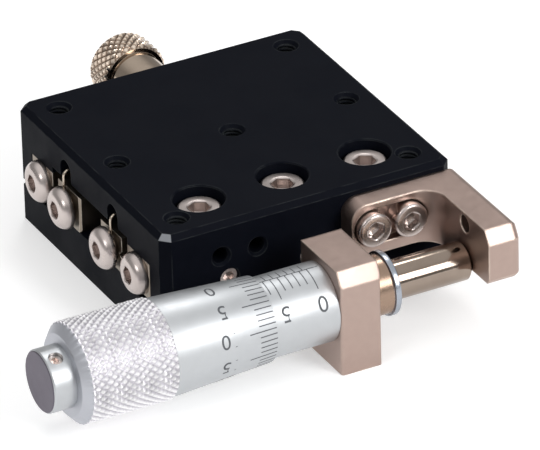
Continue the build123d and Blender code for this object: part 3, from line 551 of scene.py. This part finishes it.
def make_finishes():
    """One material for each finish of the stage."""
    along_x = (0.04, 1.0, 1.0)
    round_x = (1.0, 0.03, 0.03)
    satin = ((0.50, 0.515, 0.53), (0.56, 0.575, 0.59))
    turned_satin = {"grain_mm": 0.1, "grain_bump": 0.35, "lines": round_x, "line_bump": 0.4,
                    "lines_per_mm": 11.0, "line_rough": 0.06}
    grip_end = thimble_high[0] - taper_length - grip_length
    # One corner facet of the table is painted light grey: a painted highlight where a lamp's reflection would
    # fall.
    painted_corner_highlight = ((-19.4, -19.4, 15.7), 2.0, (-0.5, -0.5, 0.7071), (0.26, 0.27, 0.29))
    return {
        # The black plates, the rails and the champagne brackets get lighter edges: partly wear, partly a
        # painted highlight.
        "black": finish("black anodising", (0.0034, 0.0042, 0.0075), (0.0050, 0.0060, 0.0100), 0.0, 0.45,
                        specular=0.03, grain_mm=0.09, grain_bump=0.5, grain_depth=0.02, lines=along_x,
                        line_bump=0.25, lines_per_mm=9.0, smudge=0.1, soft_edge=0.2,
                        rubbed_and_lit_edge=(0.040, 0.044, 0.046), facet=painted_corner_highlight),
        "rail": finish("ground rail steel", (0.22, 0.185, 0.15), (0.32, 0.275, 0.225), 1.0, 0.28,
                       lines=along_x, line_bump=0.5, lines_per_mm=16.0, line_rough=0.1, soft_edge=0.12,
                       rubbed_and_lit_edge=(0.72, 0.66, 0.58)),
        "brass": finish("cage brass", (0.60, 0.40, 0.16), (0.68, 0.48, 0.22), 1.0, 0.28, lines=along_x,
                        line_bump=0.4),
        "hardened": finish("polished hardened steel", (0.27, 0.215, 0.175), (0.33, 0.27, 0.225), 1.0, 0.09,
                           grain_bump=0.02, lines=round_x, line_bump=0.25, lines_per_mm=14.0,
                           line_rough=0.04),
        "stainless": finish("stainless screw steel", (0.52, 0.455, 0.43), (0.66, 0.59, 0.56), 1.0, 0.25,
                            grain_mm=0.2, grain_bump=0.25, smudge=0.12),
        "spring": finish("spring wire", (0.50, 0.42, 0.33), (0.62, 0.54, 0.45), 1.0, 0.22, grain_bump=0.1),
        "champagne": finish("champagne nickel plating", (0.40, 0.300, 0.262), (0.46, 0.350, 0.307), 1.0, 0.36,
                            grain_mm=0.08, grain_bump=0.6, grain_depth=0.012, lines=along_x, line_bump=0.15,
                            smudge=0.06, soft_edge=0.35, rubbed_and_lit_edge=(0.74, 0.62, 0.52)),
        "satin": finish("satin chrome", *satin, 1.0, 0.42, soft_edge=0.12, **turned_satin),
        # Thimble knurl: white tips are a painted highlight, lilac-grey groove floors painted shade.
        "thimble": finish("satin chrome of the thimble", *satin, 1.0, 0.42,
                          groove=((0.95, 0.94, 0.95), (0.52, 0.50, 0.55)),
                          zone=(grip_end - 0.05, (0.52, 0.53, 0.57), 0.45), **turned_satin),
        # The cap's end face, left of its end, is painted dark as painted shade.
        "cap": finish("satin chrome of the cap", *satin, 1.0, 0.40, soft_edge=0.12,
                      zone=(cap_end_x + 0.1, (0.145, 0.130, 0.16), 0.42), **turned_satin),
        # The stem nut's body, left of the rim, is painted brown as a painted reflection of the champagne
        # block; the rim keeps the nickel colour.
        "nut": finish("bright nickel of the stem nut", (0.33, 0.36, 0.41), (0.40, 0.43, 0.48), 1.0, 0.24,
                      zone=(nut_low[0] + nut_body_length - 0.05, (0.34, 0.24, 0.18), 0.24)),
        # Knob knurl: light tips are a painted highlight, dark brown groove floors painted shade.
        "knob": finish("bright nickel of the knob", (0.40, 0.32, 0.25), (0.50, 0.41, 0.33), 1.0, 0.12,
                       grain_bump=0.05, groove=((0.90, 0.76, 0.63), (0.14, 0.075, 0.04))),
        "paint": finish("scale paint", (0.08, 0.085, 0.095), (0.11, 0.115, 0.125), 0.0, 0.6, grain_bump=0.1),
    }


finishes = make_finishes()


def dress_frame():
    """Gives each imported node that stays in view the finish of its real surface."""
    by_node = {
        "black": ["table_top", "base_plate", "clamp_plate"],
        "rail": ["outer_rail_front", "outer_rail_rear", "inner_rail_front", "inner_rail_rear"],
        "brass": ["cage_front", "cage_rear"],
        "hardened": ["rollers_front", "rollers_rear", "spring_pins"],
        "stainless": ["preload_screws", "rear_rail_screws", "inner_rail_screws", "micrometer_bracket_screws",
                      "clamp_plate_screws", "clamp_stud", "cap_set_screw"],
        "champagne": ["anvil_bracket", "micrometer_bracket"],
        "satin": ["micrometer_barrel", "adjusting_nut"],
        "cap": ["thimble_cap"],
    }
    for key, names in by_node.items():
        for name in names:
            thing = nodes[name]
            if not thing.material_slots:
                thing.data.materials.append(finishes[key])
            for index in range(len(thing.material_slots)):
                thing.material_slots[index].material = finishes[key]


def make_thimble():
    """Thimble: bore, bevelled edge, taper, knurled grip and end wall as one closed turned loop.

    On the grip the radius is grip radius - knurl depth * (1 - diamond knurl), and never more than the quarter
    round at its shoulder or the cone at its end."""
    left = thimble_low[0]
    right = thimble_high[0]
    grip_start = right - taper_length
    grip_end = grip_start - grip_length
    columns = knurl_count * 10
    turns = np.arange(columns) * 2 * pi / columns
    front = rounded([(left + thimble_wall, thimble_bore), (right, thimble_bore), (right, thimble_edge_radius),
                     (grip_start, taper_radius), (grip_start, grip_radius - knurl_depth)], 0.05)
    cone = (grip_radius - cone_radius) / (grip_end - left)
    floor_x = grip_end - knurl_depth / cone
    rows = np.linspace(grip_start - 0.02, floor_x, int(grip_length / knurl_pitch * 10))
    back = rounded([(floor_x - 0.02, grip_radius - knurl_depth), (left, cone_radius), (left, neck_bore),
                    (left + thimble_wall, neck_bore), (left + thimble_wall, thimble_bore)], 0.06)[1:-1]
    shoulder = np.clip((grip_start - rows) / 0.45, 0, 1)
    share = diamond_knurl(turns, rows, knurl_count, knurl_pitch)
    knurled = grip_radius - knurl_depth * (1 - share)
    crown = grip_radius - knurl_depth * (1 - np.sqrt(1 - (1 - shoulder) ** 2))
    crown = np.minimum(crown, grip_radius - np.maximum(grip_end - rows, 0) * cone)
    knurled = np.minimum(knurled, crown[:, None])
    along = np.concatenate([front[:, 0], rows, back[:, 0]])
    radius = np.vstack([np.repeat(front[:, 1:2], columns, 1), knurled, np.repeat(back[:, 1:2], columns, 1)])
    points = turned(mic_origin, X_AXIS, Z_AXIS, along, radius, turns)
    made = piece("thimble_knurled", points, grid_faces(len(along), columns, wrap_rows=True),
                 "micrometer_screw", finishes["thimble"], ["thimble"], sharp=25)
    mark_grooves(made, mic_origin, X_AXIS, rows, share, turns)


def make_sleeve():
    """Graduated sleeve: tube with softly broken edges."""
    left = sleeve_low[0]
    right = sleeve_high[0]
    outline = rounded([(left, stem_bore), (right, stem_bore), (right, sleeve_radius), (left, sleeve_radius),
                       (left, stem_bore)], 0.1)
    points, faces = turned_grid(mic_origin, X_AXIS, Z_AXIS, outline[1:-1], 144, wrap_rows=True)
    piece("sleeve_graduated", points, faces, "base", finishes["satin"], ["micrometer_sleeve"])


def make_stem_nut():
    """Stem nut: narrower body and a bright rim, bored for stem and spindle."""
    left = nut_low[0]
    right = nut_high[0]
    rim = left + nut_body_length
    step = left + stem_length
    outline = rounded([(left, stem_bore), (left, nut_body_radius), (rim, nut_body_radius),
                       (rim, nut_rim_radius), (right, nut_rim_radius), (right, nut_bore), (step, nut_bore),
                       (step, stem_bore), (left, stem_bore)], 0.16)
    points, faces = turned_grid(mic_origin, X_AXIS, Z_AXIS, outline[1:-1], 144, wrap_rows=True)
    piece("stem_nut_bright", points, faces, "base", finishes["nut"], ["stem_nut"])


def make_spindle():
    """Spindle: polished measuring end, screw length and neck."""
    tip = spindle_high[0]
    neck_start = thimble_low[0] + thimble_wall
    outline = rounded([(tip, 0), (tip, spindle_radius - spindle_chamfer),
                       (tip - spindle_chamfer, spindle_radius),
                       (spindle_shoulder_x, spindle_radius), (spindle_shoulder_x, spindle_screw_radius),
                       (neck_start, spindle_screw_radius), (neck_start, spindle_neck_radius),
                       (spindle_low[0], spindle_neck_radius), (spindle_low[0], 0)])
    points, faces = turned_grid(mic_origin, X_AXIS, Z_AXIS, outline, 144)
    piece("spindle_polished", points, faces, "micrometer_screw", finishes["hardened"],
          ["spindle"])


def bent_bars(bars, surface, sides=10):
    """Thin bars of paint on a turned surface, whole arrays at once.

    A bar is (x start, x end, turn start, turn end). Its points are origin + x * axis + r * spoke(turn),
    with r from just under the surface to the paint's height over it."""
    bars = np.asarray(bars, float)
    share = np.linspace(0, 1, sides + 1)
    turn = bars[:, 2, None] + (bars[:, 3] - bars[:, 2])[:, None] * share
    x = np.stack([bars[:, 0], bars[:, 1], bars[:, 1], bars[:, 0]], -1)
    lift = np.array([-paint_depth, -paint_depth, paint_height, paint_height])
    r = surface(x) + lift
    spoke = np.cos(turn)[..., None] * Z_AXIS - np.sin(turn)[..., None] * Y_AXIS
    points = mic_origin + x[:, None, :, None] * X_AXIS + r[:, None, :, None] * spoke[:, :, None, :]
    tube = grid_faces(sides + 1, 4)
    caps = np.array([[3, 2, 1, 0], [sides * 4 + k for k in range(4)]])
    one = np.vstack([tube, caps])
    starts = np.arange(len(bars)) * (sides + 1) * 4
    return points.reshape(-1, 3), (one[None] + starts[:, None, None]).reshape(-1, 4)


def digits(text, x, turn, surface, height):
    """Flat text bent round the micrometer axis: its right is towards the thimble, its top towards the front.

    A point of the text goes to x - its across, at turn + its up / radius, on or just under the surface."""
    curve = bpy.data.curves.new("figure", "FONT")
    curve.body = text
    curve.size = height / capital_share
    curve.align_x = "CENTER"
    curve.align_y = "CENTER"
    curve.extrude = paint_depth
    holder = bpy.data.objects.new("figure", curve)
    bpy.context.scene.collection.objects.link(holder)
    bpy.context.view_layer.update()
    mesh = bpy.data.meshes.new_from_object(holder.evaluated_get(bpy.context.evaluated_depsgraph_get()))
    bpy.data.objects.remove(holder)
    flat = np.zeros(len(mesh.vertices) * 3, np.float32)
    mesh.vertices.foreach_get("co", flat)
    flat = flat.reshape(-1, 3).astype(float)
    flat[:, 1] -= (flat[:, 1].min() + flat[:, 1].max()) / 2
    along = x - flat[:, 0]
    radius = surface(along)
    angle = turn + flat[:, 1] / radius
    radius = radius + np.where(flat[:, 2] > 0, paint_height, -paint_depth)
    spoke = np.cos(angle)[:, None] * Z_AXIS - np.sin(angle)[:, None] * Y_AXIS
    bent = (mic_origin + along[:, None] * X_AXIS + radius[:, None] * spoke) * MM
    mesh.vertices.foreach_set("co", bent.astype(np.float32).ravel())
    mesh.update()
    return mesh


def joined(name, meshes):
    """One mesh of several."""
    shape = bmesh.new()
    for mesh in meshes:
        shape.from_mesh(mesh)
        bpy.data.meshes.remove(mesh)
    whole = bpy.data.meshes.new(name)
    shape.to_mesh(whole)
    shape.free()
    return whole


def make_scales():
    """Lines and plain figures of the sleeve and the thimble."""
    def on_sleeve(x):
        return np.full_like(x, sleeve_radius)

    def on_taper(x):
        share = (thimble_high[0] - x) / taper_length
        return thimble_edge_radius + share * (taper_radius - thimble_edge_radius)

    half = line_width / 2
    whole = np.arange(0, reading_length)
    ticks = zero_x - whole
    ends = np.where(whole % 5 == 0, long_tick_turn, short_tick_turn)
    bars = [np.stack([ticks - half, ticks + half, np.full_like(ticks, datum_angle), datum_angle + ends], -1)]
    between = ticks - 0.5
    bars.append(np.stack([between - half, between + half, datum_angle - half_tick_turn + 0 * ticks,
                          datum_angle + 0 * ticks], -1))
    half_turn = half / sleeve_radius
    bars.append(np.array([[sleeve_low[0] + datum_left_gap, sleeve_high[0] - datum_right_gap,
                           datum_angle - half_turn, datum_angle + half_turn]]))
    points, faces = bent_bars(np.vstack(bars), on_sleeve)
    piece("sleeve_scale", points, faces, "base", finishes["paint"])
    figures = [digits(str(value), zero_x - value, sleeve_figure_angle, on_sleeve, figure_height)
               for value in (0, 5, 10)]
    finish_mesh("sleeve_figures", joined("sleeve_figures", figures), "base",
                finishes["paint"])

    index = np.arange(thimble_divisions)
    turn = datum_angle + index * 2 * pi / thimble_divisions
    length = np.where(index % 5 == 0, thimble_long_tick, thimble_short_tick)
    start = thimble_high[0] - thimble_tick_start
    half_turn = half / thimble_edge_radius
    bars = np.stack([start - length, np.full(len(index), start), turn - half_turn, turn + half_turn], -1)
    points, faces = bent_bars(bars, on_taper, sides=2)
    piece("thimble_scale", points, faces, "micrometer_screw", finishes["paint"])
    middle = thimble_high[0] - thimble_figure_offset
    figures = [digits(str(value), middle, turn[value], on_taper, thimble_figure_height)
               for value in range(0, thimble_divisions, 5)]
    finish_mesh("thimble_figures", joined("thimble_figures", figures), "micrometer_screw",
                finishes["paint"])


def socket_rows(top, key, depth):
    """Rows of a hexagon socket sunk into a head from its top face."""
    flat = key / 2
    mouth = flat / np.cos(pi / 6) + key_overcut
    return [(top, mouth, 0), (top - key_overcut, flat, 1), (top - depth, flat, 1),
            (top - depth - socket_cone, 0, 0)]


def cap_head(radius, length, head_radius, head_height, key, depth):
    """Profile of a socket cap screw from its foot to the bottom of its socket, bearing face at 0."""
    return [(-length, 0, 0), (-length, radius - head_chamfer, 0), (-length + head_chamfer, radius, 0),
            (0, radius, 0), (0, head_radius, 0), (head_height - head_chamfer, head_radius, 0),
            (head_height, head_radius - head_chamfer, 0)] + socket_rows(head_height, key, depth)


def button_head(neck):
    """Profile of an M3 button head screw whose head stands off by the neck: its dome is a quarter wave from
    the edge to the flat top."""
    top = neck + button_height
    wave = np.linspace(0, pi / 2, 9)
    rise = neck + button_edge + (button_height - button_edge) * np.sin(wave)
    reach = button_top_radius + (m3_head_radius - button_top_radius) * np.cos(wave)
    dome = [(a, b, 0) for a, b in zip(rise, reach)]
    stem = [(-button_length, 0, 0), (-button_length, m3_shank_radius, 0), (neck, m3_shank_radius, 0),
            (neck, m3_head_radius, 0)]
    outline = stem + dome + socket_rows(top, button_key, button_key_depth)
    return rounded(outline, button_round, 2)


def screw_set(name, places, axis, start, profile, node, body):
    """Several like screws as one mesh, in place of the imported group."""
    outline = rounded(profile, screw_round)
    parts = [turned_grid(np.array(place, float), axis, start, outline, head_columns) for place in places]
    points, faces = stacked(parts)
    piece(name, points, faces, body, finishes["stainless"], [node], sharp=40)


def row_places(node, count, head_radius):
    """Screw positions along X in a packed row, from the box of the whole row."""
    low, high = corners(node)
    return np.linspace(low[0] + head_radius, high[0] - head_radius, count)


def make_screws():
    """Visible screws with real sockets."""
    low, high = corners("front_rail_screws")
    xs = row_places("front_rail_screws", 3, m3_head_radius)
    places = [(x, (low[1] + high[1]) / 2, high[2] - m3_head_height) for x in xs]
    m3_cap = cap_head(m3_shank_radius, rail_screw_length, m3_head_radius, m3_head_height, m3_key,
                      m3_key_depth)
    screw_set("front_rail_screw_set", places, Z_AXIS, X_AXIS, m3_cap, "front_rail_screws", "table")
    low, high = corners("anvil_bracket_screws")
    xs = row_places("anvil_bracket_screws", 2, m25_head_radius)
    places = [(x, low[1] + m25_head_height, (low[2] + high[2]) / 2) for x in xs]
    m25_cap = cap_head(m25_shank_radius, anvil_screw_length, m25_head_radius, m25_head_height, m25_key,
                       m25_key_depth)
    screw_set("anvil_screw_set", places, -Y_AXIS, X_AXIS, m25_cap, "anvil_bracket_screws", "table")
    for name, body, neck in (("outer_rail_end_screws", "table", 0.0),
                             ("inner_rail_end_screws", "base", inner_screw_neck)):
        low, high = corners(name)
        y = high[1] - m3_head_radius
        z = (low[2] + high[2]) / 2
        left, right = button_head(neck), button_head(0.0)
        parts = [turned_grid(np.array([rail_low[0], side * y, z]), -X_AXIS, Z_AXIS, left, head_columns)
                 for side in (-1, 1)]
        parts += [turned_grid(np.array([rail_high[0], side * y, z]), X_AXIS, Z_AXIS, right, head_columns)
                  for side in (-1, 1)]
        points, faces = stacked(parts)
        piece(name.replace("screws", "screw_set"), points, faces, body, finishes["stainless"],
              [name], sharp=40)


def make_knob():
    """Clamp knob: polished neck, chamfered knurled grip, shallow recess in the end.

    On the grip the radius is knob radius - knurl depth * (1 - diamond knurl), and never more than the
    bevels at its two ends."""
    start = knob_low[1]
    grip = start + knob_neck_length
    end = knob_high[1]
    columns = knob_knurl_count * 10
    turns = np.arange(columns) * 2 * pi / columns
    origin = np.array([0.0, 0.0, knob_axis_height])
    bore_end = start + knob_bore_depth
    front = rounded([(bore_end, 0), (bore_end, knob_bore_radius), (start, knob_bore_radius),
                     (start, knob_neck_radius), (grip, knob_neck_radius), (grip, knob_radius - knob_chamfer)])
    rows = np.linspace(grip + 0.02, end - 0.02, int(round((end - grip) / knob_knurl_pitch * 10)))
    share = diamond_knurl(turns, rows, knob_knurl_count, knob_knurl_pitch)
    knurled = knob_radius - knob_knurl_depth * (1 - share)
    bevel = knob_radius - knob_chamfer + np.minimum(rows - grip, end - rows)
    knurled = np.minimum(knurled, bevel[:, None])
    back = rounded([(end, knob_radius - knob_chamfer), (end, knob_recess_radius),
                    (end - knob_chamfer, knob_recess_radius - knob_chamfer), (end - knob_chamfer, 0)])
    along = np.concatenate([front[:, 0], rows, back[:, 0]])
    radius = np.vstack([np.repeat(front[:, 1:2], columns, 1), knurled, np.repeat(back[:, 1:2], columns, 1)])
    points = turned(origin, Y_AXIS, Z_AXIS, along, radius, turns)
    made = piece("clamp_knob_knurled", points, grid_faces(len(along), columns), "clamp",
                 finishes["knob"], ["clamp_knob"], sharp=28)
    mark_grooves(made, origin, Y_AXIS, rows, share, turns)


def wire(path, radius, reference, sides=8):
    """Round wire carried along a path: each ring lies square to the path, at path + radius * (cos(turn) *
    first + sin(turn) * second), with first turned to the reference directions. The ends are closed."""
    tangent = np.gradient(path, axis=0)
    tangent /= np.linalg.norm(tangent, axis=1)[:, None]
    first = reference - (reference * tangent).sum(1)[:, None] * tangent
    first /= np.linalg.norm(first, axis=1)[:, None]
    second = np.cross(tangent, first)
    turn = np.arange(sides) * 2 * pi / sides
    turn = turn[None, :, None]
    rings = path[:, None] + radius * (np.cos(turn) * first[:, None] + np.sin(turn) * second[:, None])
    points = np.vstack([path[:1], rings.reshape(-1, 3), path[-1:]])
    faces = grid_faces(len(path), sides) + 1
    ring = np.arange(sides)
    last = 1 + (len(path) - 1) * sides
    head = np.stack([np.zeros_like(ring), 1 + (ring + 1) % sides, 1 + ring, np.zeros_like(ring)], -1)
    tail = np.stack([np.full_like(ring, len(points) - 1), last + ring, last + (ring + 1) % sides,
                     np.full_like(ring, len(points) - 1)], -1)
    return points, np.vstack([faces, head, tail])


def make_springs():
    """Extension springs: close coil, hook round the rail's end screw at the left, eye round the right pin.

    The coil is x = start + pitch * turns, with y and z on a circle of the coil's radius."""
    for name, side in (("front", -1), ("rear", 1)):
        middle = np.array([0.0, side * spring_y, spring_height])
        turns = (coil_end - coil_start) / coil_pitch
        t = np.linspace(0, 2 * pi * turns, int(turns * 14))
        fade = np.clip(np.minimum(t, t[-1] - t) / pi, 0, 1)
        swing = coil_radius * fade
        coil_x = coil_start + coil_pitch * t / (2 * pi)
        coil = middle + np.stack([coil_x, swing * np.sin(t), swing * np.cos(t)], -1)
        spoke = np.stack([0 * t, np.sin(t), np.cos(t)], -1)
        eye = np.linspace(0.5 * pi, 2.35 * pi, 30)
        eye_x = spring_pin_x - eye_radius * np.sin(eye)
        loop = middle + np.stack([eye_x, eye_radius * np.cos(eye), 0 * eye], -1)
        ring = np.linspace(0, 1.8 * pi, 40) + hook_turn
        ring_middle = np.array([spring_hook_x, side * hook_ring_y, hook_ring_height])
        hook = ring_middle + hook_ring_radius * np.stack([0 * ring, side * np.sin(ring), np.cos(ring)], -1)
        bend = np.linspace(0, pi / 2, 7)
        bend_x = spring_hook_x + hook_bend_radius - hook_bend_radius * np.sin(bend)
        bend_z = -hook_bend_radius + hook_bend_radius * np.cos(bend)
        top = middle + np.stack([bend_x, 0 * bend, bend_z], -1)
        leg = np.linspace(top[-1], hook[0], 6)[1:-1]
        path = np.vstack([hook[::-1], leg[::-1], top[::-1], coil, loop])
        flat = np.tile(Y_AXIS, (len(hook) + len(leg) + len(top), 1))
        flat[:len(hook)] = -X_AXIS
        reference = np.vstack([flat, spoke, np.tile(Z_AXIS, (len(loop), 1))])
        points, faces = wire(path, wire_radius, reference)
        made = piece(f"return_spring_{name}_coil", points, faces, "base", finishes["spring"],
                     [f"return_spring_{name}"], sharp=60, ride=False)
        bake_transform(made)


def make_threads():
    """Screw threads in the tapped holes: r = minor radius - height * ridge(z / pitch - turn)."""
    columns = 36
    turns = np.arange(columns) * 2 * pi / columns
    mounts = frame["record"]["mounts"]
    pattern = next(mount for mount in mounts if mount["name"] == "table_holes")["dims"]
    half = np.array([pattern["spacing_x_mm"], pattern["spacing_y_mm"]]) / 2
    holes = [(sx * half[0], sy * half[1], corner_thread_depth) for sx in (-1, 1) for sy in (-1, 1)]
    holes += [(x, 0.0, centre_thread_depth) for x in (-half[0], 0.0, half[0])]
    parts = []
    for x, y, depth in holes:
        rows = np.arange(thread_lead_in, depth - 0.02, thread_pitch / 6)
        wave = ridge(rows[:, None] / thread_pitch - turns[None] / (2 * pi))
        inner = thread_minor_radius - thread_height * wave
        outer = np.full((2, columns), thread_minor_radius + 0.004)
        along = np.concatenate([rows, [rows[-1], rows[0]]])
        mouth = np.array([x, y, table_face_height])
        points = turned(mouth, -Z_AXIS, X_AXIS, along, np.vstack([inner, outer]), turns)
        parts.append((points.reshape(-1, 3), grid_faces(len(along), columns, wrap_rows=True)))
    points, faces = stacked(parts)
    piece("table_threads", points, faces, "table", finishes["black"], sharp=20)


def seen_ray(tree):
    """1 for the rays that show the background: seen directly, in a reflection or through glass."""
    path = tree.nodes.new("ShaderNodeLightPath")
    seen = math_node(tree, "MAXIMUM", path.outputs["Is Camera Ray"], path.outputs["Is Glossy Ray"])
    return math_node(tree, "MAXIMUM", seen, path.outputs["Is Transmission Ray"])


def make_stage():
    """Pale floor that reads as white behind the object and keeps its shadow."""
    reach = 3.0
    mesh = bpy.data.meshes.new("floor")
    mesh.from_pydata([(-reach, -reach, 0), (reach, -reach, 0), (reach, reach, 0), (-reach, reach, 0)], [],
                     [(0, 1, 2, 3)])
    material = bpy.data.materials.new("pale floor")
    material.use_nodes = True
    tree = material.node_tree
    shader = tree.nodes["Principled BSDF"]
    shader.inputs["Base Color"].default_value = (0.8, 0.8, 0.8, 1)
    shader.inputs["Roughness"].default_value = 0.8
    shader.inputs["Specular IOR Level"].default_value = 0.0
    shader.inputs["Emission Color"].default_value = (1, 1, 1, 1)
    tree.links.new(math_node(tree, "MULTIPLY", seen_ray(tree), 0.45), shader.inputs["Emission Strength"])
    mesh.materials.append(material)
    floor = bpy.data.objects.new("floor", mesh)
    bpy.context.scene.collection.objects.link(floor)


def make_light():
    """Soft studio light: a lamp at the front, one above the rear, one at the left, and a pale room that is
    dimmer towards the horizon."""
    for name, place, size, power in (
        ("front", (0.47, -0.96, 0.58), 0.60, 7.8),
        ("rear", (0.40, 0.55, 1.00), 0.30, 2.0),
        ("left", (-0.86, -0.40, 0.74), 0.40, 1.7),
    ):
        lamp = bpy.data.lights.new(name, "AREA")
        lamp.shape = "DISK"
        lamp.size = size
        lamp.energy = power
        holder = bpy.data.objects.new(name, lamp)
        holder.location = place
        holder.rotation_euler = (-Vector(place)).to_track_quat("-Z", "Y").to_euler()
        bpy.context.scene.collection.objects.link(holder)
    world = bpy.data.worlds.new("pale studio")
    world.use_nodes = True
    tree = world.node_tree
    background = tree.nodes["Background"]
    direction = tree.nodes.new("ShaderNodeTexCoord").outputs["Generated"]
    axes = add_node(tree, "ShaderNodeSeparateXYZ", [(0, direction)])
    rise = share_between(tree, axes.outputs[2], 0.40, 0.90, 0.34, 0.90, "SMOOTHSTEP")
    tint = colour_mix(tree, rise, (0.0, 0.0, 0.0), (1.0, 1.0, 1.0))
    tree.links.new(tint, background.inputs["Color"])
    strength = math_node(tree, "ADD", math_node(tree, "MULTIPLY", seen_ray(tree), 0.2), 0.8)
    tree.links.new(strength, background.inputs["Strength"])
    bpy.context.scene.world = world


def make_camera():
    """Long lens from the front left and above."""
    camera = bpy.data.cameras.new("camera")
    camera.sensor_width = 36.0
    camera.sensor_fit = "HORIZONTAL"
    camera.lens = 511.1
    camera.clip_start = 0.01
    camera.clip_end = 20.0
    holder = bpy.data.objects.new("camera", camera)
    right = Vector((0.88388, -0.46708, -0.02422))
    up = Vector((0.25045, 0.42895, 0.86792))
    back = Vector((-0.39501, -0.77320, 0.49612))
    matrix = Matrix((right, up, back)).transposed().to_4x4()
    matrix.translation = Vector((-0.37331, -0.74025, 0.47603))
    holder.matrix_world = matrix
    bpy.context.scene.collection.objects.link(holder)
    bpy.context.scene.camera = holder


dress_frame()
make_thimble()
make_sleeve()
make_stem_nut()
make_spindle()
make_scales()
make_screws()
make_knob()
make_springs()
make_threads()
make_stage()
make_light()
make_camera()
bpy.context.scene.view_settings.view_transform = "Standard"
